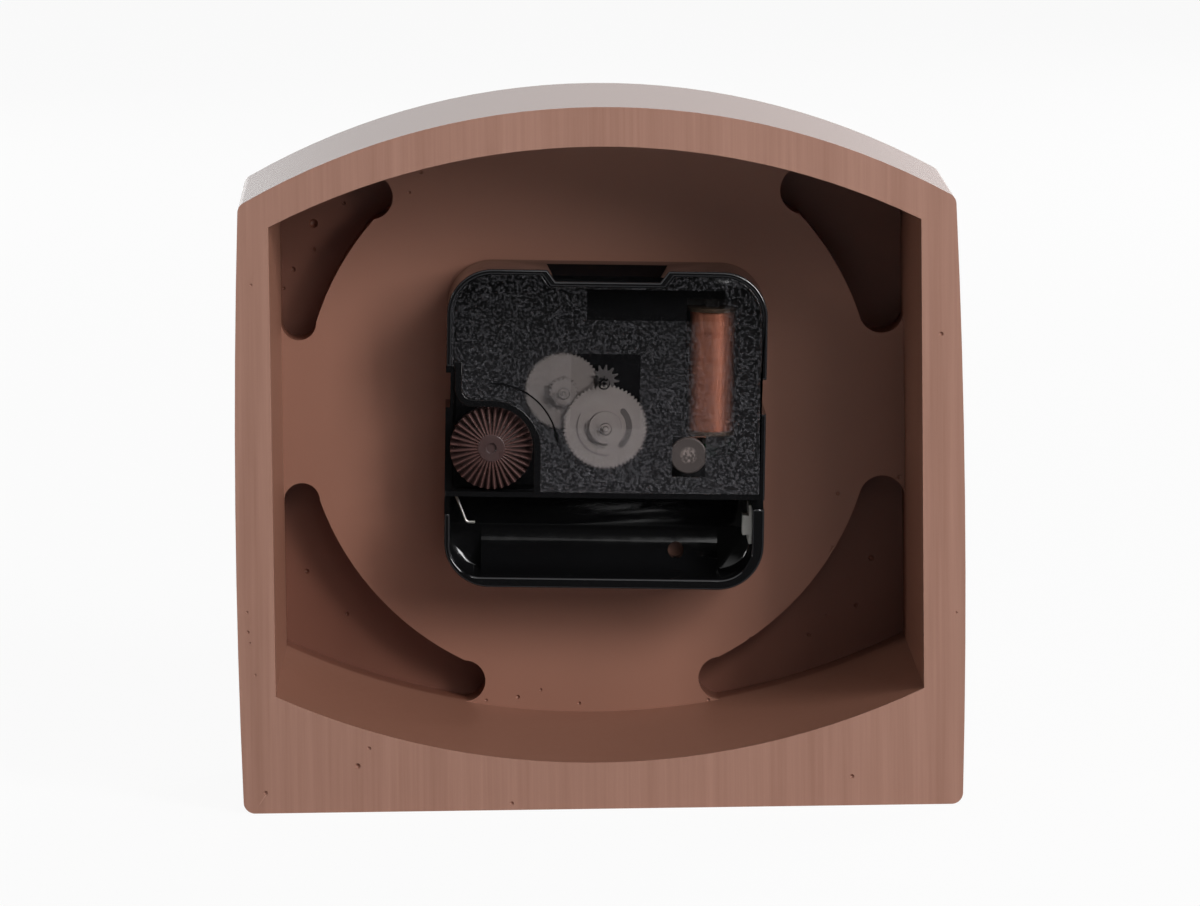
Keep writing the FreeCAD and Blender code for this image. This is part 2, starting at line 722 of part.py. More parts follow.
def make_housing():
    body = new_body("movement_housing")
    place_in_movement(body)
    pad(body, "block", [rounded_box("housing_half", "housing_round")], "0", "housing_thickness")
    chamber = notched_box("chamber_half", "chamber_round", "chamber_foot",
                          "notch_half + housing_wall", "top_notch_deep")
    pocket(body, "chamber", [chamber], "housing_floor", "housing_thickness - housing_floor")
    seat = notched_box("chamber_half + rim_width", "chamber_round + rim_width", "chamber_foot",
                       "notch_half + housing_wall - rim_width", "top_notch_deep")
    pocket(body, "cover_seat", [seat], "cover_low", "cover_thickness")
    bay = [
        *rounded_corner("-bay_right", "-bay_foot", -1, -1, "bay_round", "z"),
        *rounded_corner("bay_left", "-bay_foot", 1, -1, "bay_round", "x"),
        ("bay_left", "-bay_top"),
        ("-bay_right", "-bay_top"),
    ]
    pocket(body, "bay", [bay], "housing_floor", "housing_thickness - housing_floor")
    trough_level = "(housing_floor + (bay_foot - bay_top) / 2)"
    trough_z = "(-(bay_foot + bay_top) / 2)"
    half = "((bay_foot - bay_top) / 2)"
    for word, side, left, right in (("upper", 1, "contact_thick + pivot_gap - bay_right", "bay_left"),
                                    ("lower", -1, "bay_round - bay_right", "bay_left - bay_round")):
        edge = f"({trough_z} + {side} * {half})"
        way = (f"{trough_level} - {half} * sqrt(0.5)", f"{trough_z} + {side} * {half} * sqrt(0.5)")
        fill_in = [("housing_floor", edge), ("housing_floor", trough_z, *way), (trough_level, edge)]
        pad_along_x(body, f"{word}_trough", fill_in, left, f"{right} - ({left})")
    over = "(housing_half + housing_wall)"
    notch = [
        ("-notch_half", "housing_half - top_notch_deep"),
        ("notch_half", "housing_half - top_notch_deep"),
        ("notch_half + top_notch_slant", "housing_half"),
        ("notch_half + top_notch_slant", over),
        ("-notch_half - top_notch_slant", over),
        ("-notch_half - top_notch_slant", "housing_half"),
    ]
    pocket(body, "top_notch", [notch], "housing_thickness - top_notch_long", "top_notch_long")
    edge = "(housing_half - snap_notch_deep)"
    snaps = [rectangle(edge, "snap_notch_low", over, "snap_notch_high"),
             rectangle(f"-{over}", "snap_notch_low", f"-{edge}", "snap_notch_high")]
    pocket(body, "snap_notches", snaps, "0", "housing_thickness")
    grips = [rectangle("bay_left - housing_wall", "-left_grip_foot", over, "-bay_top"),
             rectangle(f"-{over}", "-right_grip_foot", "-bay_right + housing_wall", "-bay_top")]
    pocket(body, "grip_notches", grips, "housing_thickness - grip_notch_deep", "grip_notch_deep")
    knob_side = rectangle("chamber_half - housing_wall", "-chamber_foot", over, "well_lip_height - well_wall")
    pocket(body, "knob_side", [knob_side], "well_floor_high", "housing_thickness - well_floor_high")
    shaft = circle("0", "0", "bushing_bore")
    bay_hole = circle("bay_hole_x", "bay_hole_z", "bay_hole_radius")
    pocket(body, "shaft_hole", [shaft], "0", "housing_floor")
    pocket(body, "bay_hole", [bay_hole], "0", trough_level)
    mark = circle("bay_mark_x", "bay_mark_z", "bay_mark_radius")
    pocket(body, "bay_mark", [mark], "housing_floor - mark_depth", "mark_depth")
    pad(body, "rotor_post", [circle(ROTOR[0], ROTOR[1], "post_radius")], "housing_floor", "rotor_post_height")
    pad(body, "motion_stud", [circle(MOTION[0], MOTION[1], "post_radius - pivot_gap")], "housing_floor",
        "stud_height")
    board_posts = [circle("board_left + 2 * post_radius", "board_top - 2 * post_radius", "post_radius"),
                   circle("board_right - 2 * post_radius", "board_foot + 2 * post_radius", "post_radius")]
    pad(body, "board_posts", board_posts, "housing_floor", "board_low - housing_floor")
    pivot = "(arbor_radius + pivot_gap)"
    pivots = [circle(ROTOR[0], ROTOR[1], pivot), circle(THIRD[0], THIRD[1], pivot)]
    pocket(body, "pivot_holes", pivots, "housing_floor / 2", "housing_floor / 2 + rotor_post_height")
    knob_hole = circle("knob_x", "knob_z", "stem_radius + pivot_gap")
    pocket(body, "knob_hole", [knob_hole], "housing_floor / 2", "housing_floor / 2")


# Cover plate with the knob's well
def well_outline(wall, outer, foot):
    """The well: a round corner about the knob and a curve up to the lip, open at the side."""
    radius = f"(well_radius - {wall})"
    right = f"(knob_x - {radius})"
    top = f"(knob_z + {radius})"
    ease = f"(well_ease + {wall})"
    left = f"(well_left + {wall})"
    bend = f"({left} - {ease})"
    return [
        (right, foot),
        (outer, foot),
        (outer, f"well_lip_height - {wall}"),
        (left, f"well_lip_height - {wall}"),
        (left, f"{top} + {ease}", f"{bend} + {ease} * sqrt(0.5)", f"{top} + {ease} * (1 - sqrt(0.5))"),
        (bend, top),
        ("knob_x", top, f"knob_x - {radius} * sqrt(0.5)", f"knob_z + {radius} * sqrt(0.5)"),
        (right, "knob_z"),
    ]


def make_cover():
    body = new_body("movement_cover")
    place_in_movement(body)
    outline = notched_box("cover_half", "chamber_round + rim_width", "chamber_foot - cover_gap",
                          "notch_half + housing_wall - rim_width + 2 * cover_gap", "top_notch_deep")
    pad(body, "plate", [outline], "cover_low", "cover_thickness")
    window = rectangle("stake_x - stake_window_wide / 2", "stake_z - stake_window_tall / 2",
                       "stake_x + stake_window_wide / 2", "stake_z + stake_window_tall / 2")
    pocket(body, "stake_window", [window], "cover_low", "cover_thickness")
    shell = well_outline("0", "(chamber_half - cover_gap)", "-chamber_foot + cover_gap")
    pad(body, "well", [shell], "well_floor_low", "cover_low - well_floor_low")
    hollow = well_outline("well_wall", "housing_half", "-chamber_foot - partition")
    pocket(body, "well_hollow", [hollow], "well_floor_high", "housing_thickness - well_floor_high")
    stem = circle("knob_x", "knob_z", "stem_radius + pivot_gap")
    pocket(body, "stem_hole", [stem], "well_floor_low", "well_floor_high - well_floor_low")
    bosses = [circle("0", "0", "pivot_boss_radius"), circle(ROTOR[0], ROTOR[1], "pivot_boss_radius"),
              circle("intermediate_x", "intermediate_z", "pivot_boss_radius")]
    pad(body, "pivot_bosses", bosses, "pivot_boss_low", "cover_low - pivot_boss_low")
    small = "(arbor_radius + pivot_gap)"
    pivots = [circle("0", "0", "seconds_arbor_radius + pivot_gap"), circle(ROTOR[0], ROTOR[1], small),
              circle("intermediate_x", "intermediate_z", small)]
    pocket(body, "pivot_holes", pivots, "pivot_boss_low", "cover_low - pivot_boss_low")


# Gears: involute flanks on a stub tooth, each flank in two straight steps
def involute(angle):
    return math.tan(angle) - angle


def gear_outline(teeth, module):
    pitch = module * teeth / 2
    base = pitch * math.cos(PRESSURE_ANGLE)
    tip = pitch + TIP_SHARE * module
    root = pitch - ROOT_SHARE * module
    half_pitch_angle = math.pi / (2 * teeth) - BACKLASH_SHARE * module / pitch

    def half_angle(radius):
        roll = math.acos(min(1.0, base / radius))
        return half_pitch_angle + involute(PRESSURE_ANGLE) - involute(roll)

    radii = [root, max(base, root), (max(base, root) + tip) / 2, tip]
    rising = [(radius, -half_angle(max(radius, base))) for radius in radii]
    falling = [(radius, -angle) for radius, angle in reversed(rising)]
    points = []
    for tooth in range(teeth):
        middle = 2 * math.pi * tooth / teeth
        for radius, angle in rising + falling:
            turn = middle + angle
            points.append(FreeCAD.Vector(radius * math.cos(turn), 0, radius * math.sin(turn)))
    distinct = [spot for number, spot in enumerate(points)
                if spot.distanceToPoint(points[number - 1]) > SAME_SPOT_SHARE * module]
    return Part.makePolygon(distinct + distinct[:1])


def gear(wheel, module, low, thick, phase):
    """A gear standing on a level, with a tooth at the phase angle from +X towards +Z."""
    face = Part.Face(gear_outline(TEETH[wheel], module))
    solid = face.extrude(FreeCAD.Vector(0, thick, 0))
    solid.rotate(FreeCAD.Vector(), FreeCAD.Vector(0, 1, 0), -math.degrees(phase))
    solid.translate(FreeCAD.Vector(0, low, 0))
    if solid.Volume < 0:
        solid.reverse()
    return solid


def rod(radius, low, high):
    return Part.makeCylinder(radius, high - low, FreeCAD.Vector(0, low, 0), FreeCAD.Vector(0, 1, 0))


def ring(radius, bore, low, high):
    return rod(radius, low, high).cut(rod(bore, low, high))


def mesh_phase(driver, driver_phase, driven, direction):
    """The phase that puts the driven gear in mesh, with the direction from driver to driven."""
    ratio = TEETH[driver] / TEETH[driven]
    return direction + math.pi - ratio * (driver_phase - direction) - math.pi / TEETH[driven]


def shaped(name, solid, x="0", z="0"):
    """A piece whose form has no feature of its own, set on its arbor."""
    piece = doc.addObject("Part::Feature", name)
    piece.Label = name
    piece.Shape = solid.removeSplitter()
    place_in_movement(piece, x, "0", z)
    NODES.append(piece)
    return piece


# Arbors: each one from the centre distance of its gears
def polar(x, z, length, angle):
    return (f"({x} + {length} * cos({angle}))", f"({z} + {length} * sin({angle}))")


INTERMEDIATE_GAP = "sqrt(pow(intermediate_x; 2) + pow(intermediate_z; 2))"
SECONDS_MODULE = f"({INTERMEDIATE_GAP} * 2 / {TEETH['seconds wheel'] + TEETH['intermediate pinion']})"
ROTOR_GAP = f"(rotor_module * {TEETH['intermediate wheel'] + TEETH['rotor pinion']} / 2)"
ROTOR = polar("intermediate_x", "intermediate_z", ROTOR_GAP, "rotor_angle")
THIRD_GAP = f"(third_module * {TEETH['seconds pinion'] + TEETH['third wheel']} / 2)"
THIRD = polar("0", "0", THIRD_GAP, "third_angle")
CENTRE_MODULE = f"({THIRD_GAP} * 2 / {TEETH['third pinion'] + TEETH['centre wheel']})"
MOTION_GAP = f"(motion_module * {TEETH['cannon pinion'] + TEETH['motion wheel']} / 2)"
SETTING_GAP = f"(motion_module * {TEETH['motion wheel'] + TEETH['setting pinion']} / 2)"
HOUR_MODULE = f"({MOTION_GAP} * 2 / {TEETH['motion pinion'] + TEETH['hour wheel']})"
KNOB_GAP = "sqrt(pow(knob_x; 2) + pow(knob_z; 2))"
KNOB_ANGLE = "atan2(knob_z; knob_x)"
GAP_SQUARES = f"(pow({MOTION_GAP}; 2) + pow({KNOB_GAP}; 2) - pow({SETTING_GAP}; 2))"
MOTION_TURN = f"acos({GAP_SQUARES} / (2 * {MOTION_GAP} * {KNOB_GAP}))"
MOTION = polar("0", "0", MOTION_GAP, f"({KNOB_ANGLE} + {MOTION_TURN})")


def direction(start, end):
    return math.atan2(value(end[1]) - value(start[1]), value(end[0]) - value(start[0]))


# Seconds train: rotor, intermediate wheel, seconds wheel, third wheel, centre wheel
def make_seconds_train():
    centre = ("0", "0")
    intermediate = ("intermediate_x", "intermediate_z")
    arbor = value("arbor_radius")
    top = value("top_pivot_high")
    seconds_arbor = value("seconds_arbor_radius")
    seconds_low = value("seconds_wheel_low")
    seconds_high = value("seconds_wheel_low + seconds_wheel_thick")
    seconds_pinion_low = value("seconds_pinion_low")
    seconds = gear("seconds wheel", value(SECONDS_MODULE), seconds_low, value("seconds_wheel_thick"), 0)
    seconds = seconds.multiFuse([
        rod(value("seconds_hub_radius"), seconds_high, value("seconds_hub_high")),
        gear("seconds pinion", value("third_module"), seconds_pinion_low, value("seconds_pinion_long"), 0),
        rod(seconds_arbor, -value("second_hand_set") - value("arbor_overhang"), top),
    ])
    shaped("seconds_wheel", seconds)

    pinion_phase = mesh_phase("seconds wheel", 0, "intermediate pinion", direction(centre, intermediate))
    wheel_low = value("intermediate_wheel_low")
    pinion_low = value("intermediate_pinion_low")
    wheel = gear("intermediate wheel", value("rotor_module"), wheel_low, value("intermediate_wheel_thick"), 0)
    pinion = gear("intermediate pinion", value(SECONDS_MODULE), pinion_low, value("intermediate_pinion_long"),
                  pinion_phase)
    hub = rod(value("seconds_hub_radius") / 2, wheel_low, pinion_low)
    shaped("intermediate_wheel", wheel.multiFuse([pinion, hub, rod(arbor, value("plate_low"), top)]),
           *intermediate)

    rotor_phase = mesh_phase("intermediate wheel", 0, "rotor pinion", direction(intermediate, ROTOR))
    magnet_low = value("magnet_low")
    magnet_high = value("magnet_low + magnet_long")
    rotor_low = value("rotor_pinion_low")
    pinion = gear("rotor pinion", value("rotor_module"), rotor_low, value("rotor_pinion_long"), rotor_phase)
    post_top = value("housing_floor + rotor_post_height")
    shaft = rod(arbor, value("housing_floor / 2"), top)
    carrier = rod(value("post_radius"), post_top + value("pivot_gap"), magnet_low)
    shaped("rotor_pinion", pinion.multiFuse([shaft, carrier]), *ROTOR)
    shaped("rotor_magnet", ring(value("magnet_radius"), arbor, magnet_low, magnet_high), *ROTOR)

    third_phase = mesh_phase("seconds pinion", 0, "third wheel", direction(centre, THIRD))
    third_low = value("third_wheel_low")
    third_pinion_low = value("third_pinion_low")
    wheel = gear("third wheel", value("third_module"), third_low, value("third_wheel_thick"), third_phase)
    pinion = gear("third pinion", value(CENTRE_MODULE), third_pinion_low, value("third_pinion_long"), 0)
    shaft = rod(arbor, value("housing_floor / 2"), value("plate_high"))
    shaped("third_wheel", wheel.multiFuse([pinion, shaft]), *THIRD)

    centre_phase = mesh_phase("third pinion", 0, "centre wheel", direction(THIRD, centre))
    centre_low = value("centre_wheel_low")
    centre_high = value("centre_wheel_low + centre_wheel_thick")
    wheel = gear("centre wheel", value(CENTRE_MODULE), centre_low, value("centre_wheel_thick"), centre_phase)
    bore = rod(value("minute_neck_radius + clutch_gap"), centre_low, centre_high)
    shaped("centre_wheel", wheel.cut(bore))


# Motion work: cannon pinion on the minute arbor, motion wheel, hour wheel, setting pinion
def make_motion_work():
    centre = ("0", "0")
    seconds_bore = value("seconds_arbor_radius + pivot_gap")
    cannon_low = value("cannon_low")
    cannon_high = value("cannon_low + cannon_long")
    neck_high = value("centre_wheel_low + centre_wheel_thick")
    tube_low = -value("minute_hand_set") - value("arbor_overhang")
    module = value("motion_module")
    cannon = gear("cannon pinion", module, cannon_low, value("cannon_long"), 0)
    arbor = cannon.multiFuse([
        rod(value("minute_arbor_radius"), tube_low, cannon_high),
        rod(value("minute_neck_radius"), cannon_high, neck_high),
    ])
    shaped("minute_arbor", arbor.cut(rod(seconds_bore, tube_low, neck_high)))

    to_motion = direction(centre, MOTION)
    wheel_phase = mesh_phase("cannon pinion", 0, "motion wheel", to_motion)
    wheel_low = value("motion_wheel_low")
    pinion_low = value("motion_pinion_low")
    pinion_high = value("motion_pinion_low + motion_pinion_long")
    wheel = gear("motion wheel", module, wheel_low, value("motion_wheel_thick"), wheel_phase)
    pinion = gear("motion pinion", value(HOUR_MODULE), pinion_low, value("motion_pinion_long"), 0)
    hub = rod(value("post_radius + arbor_radius"), pinion_high, wheel_low)
    bore = rod(value("post_radius"), pinion_low, wheel_low + value("motion_wheel_thick"))
    shaped("motion_wheel", wheel.multiFuse([pinion, hub]).cut(bore), *MOTION)

    hour_phase = mesh_phase("motion pinion", 0, "hour wheel", direction(MOTION, centre))
    hour_low = value("hour_wheel_low")
    hour_high = value("hour_wheel_low + hour_wheel_thick")
    pipe_low = -value("hour_hand_set") - value("arbor_overhang")
    wheel = gear("hour wheel", value(HOUR_MODULE), hour_low, value("hour_wheel_thick"), hour_phase)
    pipe = rod(value("hour_pipe_radius"), pipe_low, hour_high)
    hour_bore = rod(value("minute_arbor_radius + pivot_gap"), pipe_low, hour_high)
    shaped("hour_wheel", wheel.fuse(pipe).cut(hour_bore))

    to_knob = direction(MOTION, ("knob_x", "knob_z"))
    setting_phase = mesh_phase("motion wheel", wheel_phase, "setting pinion", to_knob)
    setting = gear("setting pinion", module, value("setting_pinion_low"), value("setting_pinion_thick"),
                   setting_phase)
    stem = rod(value("stem_radius"), value("housing_floor / 2"), value("knob_low"))
    shaped("setting_pinion", setting.fuse(stem), "knob_x", "knob_z")


# Knob with radial ribs and a serrated rim
def make_knob():
    body = new_body("setting_knob")
    place_in_movement(body, "knob_x", "0", "knob_z")
    pad(body, "disc", [circle("0", "0", "knob_radius")], "knob_low", "knob_thick")

    def valley(name, radius, half_width, depth):
        over = "knob_high + knob_valley_deep"
        loop = [
            ("knob_high", f"-({half_width})"),
            (f"knob_high - {depth}", "0"),
            ("knob_high", half_width),
            (over, half_width),
            (over, f"-({half_width})"),
        ]
        return sketch_on(body, name, [loop], radius, role="YZ_Plane")

    step = "(180 / knob_ribs)"
    outer = "(knob_radius + knob_valley_deep)"
    groove = body.newObject("PartDesign::SubtractiveLoft", "setting_knob_valley")
    half_width = f"knob_hub_radius * tan({step})"
    groove.Profile = valley("inner", "knob_hub_radius", half_width, "knob_valley_deep / 2")
    outer_sketch = valley("outer", outer, f"{outer} * tan({step})", "knob_rim_deep")
    groove.Sections = [(outer_sketch, [""])]
    groove.Ruled = True
    doc.recompute()
    ribs = body.newObject("PartDesign::PolarPattern", "setting_knob_ribs")
    ribs.Originals = [groove]
    axis = [part for part in body.Origin.OriginFeatures if part.Role == "Y_Axis"][0]
    ribs.Axis = (axis, [""])
    ribs.Angle = 360
    ribs.setExpression("Occurrences", formula("knob_ribs"))
    body.Tip = ribs
    doc.recompute()
    pocket(body, "dimple", [circle("0", "0", "knob_dimple_radius")], "knob_high - knob_dimple_deep",
           "knob_dimple_deep")


# Middle plate over the train
def make_plate():
    body = new_body("middle_plate")
    place_in_movement(body)
    half = "(chamber_half - plate_gap)"
    outline = notched_box(half, "chamber_round - plate_gap", "chamber_foot - plate_gap",
                          "notch_half + housing_wall + 2 * plate_gap", "top_notch_deep")
    pad(body, "plate", [outline], "plate_low", "plate_thick")
    room = "(flange_radius + stator_arm_gap)"
    coil_window = rectangle(f"coil_x - {room}", f"coil_foot - {room}", f"coil_x + {room}",
                            f"coil_top + {room} / 2")
    pocket(body, "coil_window", [coil_window], "plate_low", "plate_thick")
    small = "(arbor_radius + pivot_gap)"
    holes = [
        circle("0", "0", "seconds_arbor_radius + pivot_gap"),
        circle(ROTOR[0], ROTOR[1], small),
        circle(THIRD[0], THIRD[1], small),
        circle("intermediate_x", "intermediate_z", small),
        circle("knob_x", "knob_z", "stem_radius + pivot_gap"),
        circle("stake_x", "stake_z", "stake_radius + pivot_gap"),
    ]
    pocket(body, "holes", holes, "plate_low", "plate_thick")


# Stepper motor: stator, core, bobbin and winding
def make_motor():
    stator = new_body("stator")
    place_in_movement(stator)
    pole = "(magnet_radius + pole_gap)"
    right = f"({ROTOR[0]} + {pole} + pole_rim)"
    pole_top = f"({ROTOR[1]} + {pole} + pole_rim)"
    pole_foot = f"({ROTOR[1]} - {pole} - pole_rim)"
    arm_low = "(coil_top + flange_thick + stator_arm_gap)"
    arm_high = f"({arm_low} + stator_arm)"
    foot_high = "(coil_foot - flange_thick - stator_arm_gap)"
    foot_low = f"({foot_high} - stator_arm)"
    left = "(coil_x - core_width)"
    bar_left = "(coil_x + flange_radius + stator_arm_gap)"
    bar_right = f"({bar_left} + stator_bar)"
    outline = [
        (right, pole_foot),
        (right, pole_top),
        (f"{ROTOR[0]} - {pole}", pole_top),
        (bar_right, arm_high),
        (left, arm_high),
        (left, arm_low),
        (bar_left, arm_low),
        (bar_left, foot_high),
        (left, foot_high),
        (left, foot_low),
        (bar_right, foot_low),
        (f"{bar_right} + stator_arm", pole_foot),
    ]
    pad(stator, "plate", [outline, circle(ROTOR[0], ROTOR[1], pole)], "stator_low", "stator_thick")

    core = new_body("coil_core")
    place_in_movement(core)
    pad(core, "bar", [rectangle("coil_x - core_width / 2", foot_low, "coil_x + core_width / 2", arm_high)],
        "stator_high", "core_thick")

    bobbin = new_body("coil_bobbin")
    place_in_movement(bobbin, "coil_x", "coil_level", "coil_z")
    half = "(coil_long / 2)"
    spool = [
        ("0", f"-{half} - flange_thick"), ("flange_radius", f"-{half} - flange_thick"),
        ("flange_radius", f"-{half}"), ("bobbin_radius", f"-{half}"), ("bobbin_radius", half),
        ("flange_radius", half), ("flange_radius", f"{half} + flange_thick"), ("0", f"{half} + flange_thick"),
    ]
    turn_upright(bobbin, "spool", spool)
    slot = [("-(core_width / 2 + core_gap)", "-(core_thick / 2 + core_gap)"),
            ("core_width / 2 + core_gap", "-(core_thick / 2 + core_gap)"),
            ("core_width / 2 + core_gap", "core_thick / 2 + core_gap"),
            ("-(core_width / 2 + core_gap)", "core_thick / 2 + core_gap")]
    before = bobbin.Shape.Volume
    bore = bobbin.newObject("PartDesign::Pocket", "coil_bobbin_slot")
    bore.Profile = sketch_on(bobbin, "slot", [slot], f"{half} + flange_thick", role="XY_Plane")
    bore.Type = "ThroughAll"
    doc.recompute()
    if bobbin.Shape.Volume >= before:
        raise ValueError("the bobbin has no slot")

    winding = new_body("coil_winding")
    place_in_movement(winding, "coil_x", "coil_level", "coil_z")
    turn_upright(winding, "barrel", [("bobbin_radius", f"-{half}"), ("coil_radius", f"-{half}"),
                                     ("coil_radius", half), ("bobbin_radius", half)])


def turn_upright(body, name, loop):
    """Turns a loop of (distance from the axis, z) round the body's Z axis."""
    feature = body.newObject("PartDesign::Revolution", f"{body.Name}_{name}")
    sketch = sketch_on(body, name, [loop], "0")
    feature.Profile = sketch
    feature.ReferenceAxis = (sketch, ["V_Axis"])
    feature.Angle = 360
    doc.recompute()


# Circuit board, chip, crystal and stake
def make_electronics():
    board = new_body("circuit_board")
    place_in_movement(board)
    pad(board, "sheet", [rectangle("board_left", "board_foot", "board_right", "board_top")], "board_low",
        "board_thick")
    pocket(board, "stake_hole", [circle("stake_x", "stake_z", "stake_radius + pivot_gap")], "board_low",
           "board_thick")
    chip = new_body("chip_blob")
    place_in_movement(chip, "chip_x", "board_low + board_thick", "chip_z")
    ball = "((pow(chip_radius; 2) + pow(chip_rise; 2)) / (2 * chip_rise))"
    way_y = f"(chip_rise - {ball} + sqrt(pow({ball}; 2) - pow(chip_radius / 2; 2)))"
    revolve(chip, "dome", [("0", "0"), ("chip_radius", "0", "chip_radius / 2", way_y), ("0", "chip_rise")])
    crystal = doc.addObject("Part::Cylinder", "quartz_crystal")
    crystal.Label = "quartz_crystal"
    crystal.Placement.Rotation = FreeCAD.Rotation(FreeCAD.Vector(0, 1, 0), 90)
    bind(crystal, Radius="crystal_radius", Height="crystal_long")
    place_in_movement(crystal, "crystal_x", "board_low + board_thick + crystal_radius", "crystal_z")
    NODES.append(crystal)
    stake = new_body("board_stake")
    place_in_movement(stake, "stake_x", "0", "stake_z")
    pad(stake, "stem", [circle("0", "0", "stake_radius")], "housing_floor", "stake_head_low - housing_floor")
    pad(stake, "collar", [circle("0", "0", "stake_collar_radius")], "plate_high",
        "stake_head_low - plate_high")
    pad(stake, "head", [circle("0", "0", "stake_head_radius")], "stake_head_low", "stake_head_thick")


# Contacts in the battery bay
def make_contacts():
    positive = new_body("positive_contact")
    place_in_movement(positive)
    inner = "-bay_right"
    pad(positive, "plate", [rectangle(inner, "contact_top - contact_width", f"{inner} + contact_thick",
                                      "contact_top")], "housing_floor", "contact_height")
    face = f"({inner} + contact_thick)"
    pad(positive, "button", [rectangle(face, "button_foot", f"{face} + button_stand", "button_top")],
        "housing_floor + button_low", "contact_height - button_low")

    negative = doc.addObject("Part::Feature", "negative_contact")
    negative.Label = "negative_contact"
    start = FreeCAD.Vector(value("wire_start_x"), 0, -value("bay_top"))
    bend = FreeCAD.Vector(value("wire_bend_x"), 0, value("wire_bend_z"))
    toe = bend + FreeCAD.Vector(-value("wire_toe"), 0, 0)
    radius = value("wire_bend_radius")
    come = (bend - start).normalize()
    leave = (toe - bend).normalize()
    turn = math.pi - come.getAngle(-leave)
    back_off = radius * math.tan(turn / 2)
    arc_start = bend - come * back_off
    arc_end = bend + leave * back_off
    inward = (leave - come).normalize()
    arc_middle = bend + inward * (radius / math.cos(turn / 2) - radius)
    path = Part.Wire([
        Part.LineSegment(start, arc_start).toShape(),
        Part.Arc(arc_start, arc_middle, arc_end).toShape(),
        Part.LineSegment(arc_end, toe).toShape(),
    ])
    section = Part.Wire(Part.makeCircle(value("wire_radius"), start, come))
    tube = path.makePipeShell([section], True, False)
    flat = Part.makeBox(value("housing_width"), value("housing_thickness"), value("bay_top"),
                        FreeCAD.Vector(0, -value("housing_thickness") / 2, -value("bay_top")))
    negative.Shape = tube.cut(flat)
    place_in_movement(negative, "0", "wire_level", "0")
    NODES.append(negative)


def check_and_export():
    doc.recompute()
    for thing in doc.Objects:
        if "Invalid" in thing.State or "Error" in thing.State:
            raise ValueError(f"{thing.Name} failed: {thing.State}")
    for node in NODES:
        if node.Shape.isNull() or not node.Shape.isValid() or not node.Shape.Solids:
            raise ValueError(f"{node.Label} has no valid solid")
    os.makedirs("parts", exist_ok=True)
    for node in NODES:
        node.Shape.exportStep(os.path.join("parts", node.Label + ".step"))
        print(f"{node.Label}: {len(node.Shape.Solids)} solid, {node.Shape.Volume:.1f} mm3")


make_case()
make_front()
make_fixing()
make_hands()
make_housing()
make_cover()
make_seconds_train()
make_motion_work()
make_knob()
make_plate()
make_motor()
make_electronics()
make_contacts()
check_and_export()
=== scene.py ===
# %% [markdown]
# # A resin shelf clock, seen from its open back
#
# The clock is a squat case cast in brown resin. Its back is open, so the round boss, four corner pockets
# and a black quartz movement show. The packed model already holds every piece at its real size, so this
# script starts from those pieces: it rounds their edges, gives them finishes and adds the fine things
# that a maker prints, engraves or moulds on them.

# %% Load the packed model
import math

import bmesh
import bpy
from mathutils import Matrix, Vector
from mathutils.bvhtree import BVHTree


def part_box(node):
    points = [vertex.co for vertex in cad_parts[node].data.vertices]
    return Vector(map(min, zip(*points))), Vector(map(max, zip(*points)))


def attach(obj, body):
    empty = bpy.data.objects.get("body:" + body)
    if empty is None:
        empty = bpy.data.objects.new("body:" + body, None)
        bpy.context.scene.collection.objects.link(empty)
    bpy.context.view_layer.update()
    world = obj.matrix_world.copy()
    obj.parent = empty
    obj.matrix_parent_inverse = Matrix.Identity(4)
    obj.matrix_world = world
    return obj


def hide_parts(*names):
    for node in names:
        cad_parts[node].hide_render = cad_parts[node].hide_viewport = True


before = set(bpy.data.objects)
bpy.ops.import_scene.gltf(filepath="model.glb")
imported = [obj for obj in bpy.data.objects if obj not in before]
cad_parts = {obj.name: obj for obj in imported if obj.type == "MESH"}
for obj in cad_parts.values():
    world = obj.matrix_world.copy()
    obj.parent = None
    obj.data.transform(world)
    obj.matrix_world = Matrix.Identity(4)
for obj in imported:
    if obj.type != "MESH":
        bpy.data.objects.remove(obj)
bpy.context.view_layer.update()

MM = 0.001
print("nodes:", len(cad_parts))


# %% [markdown]
# ## Places read from the pieces
#
# Nothing here is typed twice. The shaft's axis is the middle of the dial, and the backs of the housing, the
# cover and the knob are read from their boxes, so each added piece sits on what carries it.

# %% Places of the main pieces
def middle(node):
    low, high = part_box(node)
    return (low + high) / 2


case_low, case_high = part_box("case_body")
housing_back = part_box("movement_housing")[1].y
cover_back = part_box("movement_cover")[1].y
knob_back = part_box("setting_knob")[1].y
dial_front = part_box("dial")[0].y
shaft = Vector((middle("dial").x, 0, middle("dial").z))
# the movement sits slightly turned in the case
MOVEMENT_TURN = math.radians(-1.5)


def solid_of(mesh):
    places = [point.co for point in mesh.vertices]
    return BVHTree.FromPolygons(places, [face.vertices for face in mesh.polygons])


def seen_from_back(solid, across, up):
    """The point of a piece that a straight look from the back meets first."""
    well_behind = case_high.y + 10 * MM
    return solid.ray_cast(Vector((across, well_behind, up)), Vector((0, -1, 0)))[0]


beside_movement = shaft.x - 36 * MM
case_solid = solid_of(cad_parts["case_body"].data)
web_back = seen_from_back(case_solid, beside_movement, shaft.z).y
print("shaft at", [round(value / MM, 2) for value in shaft], "web at", round(web_back / MM, 2))


# %% [markdown]
# ## Shader sums written as Python
#
# A finish is a small network of nodes. Wiring each one by hand hides the idea, so a Wire is one socket that
# plus, minus and times work on, from either side of a number. Each sum becomes a Math node, and spread is
# the Map Range node that most masks are made with.

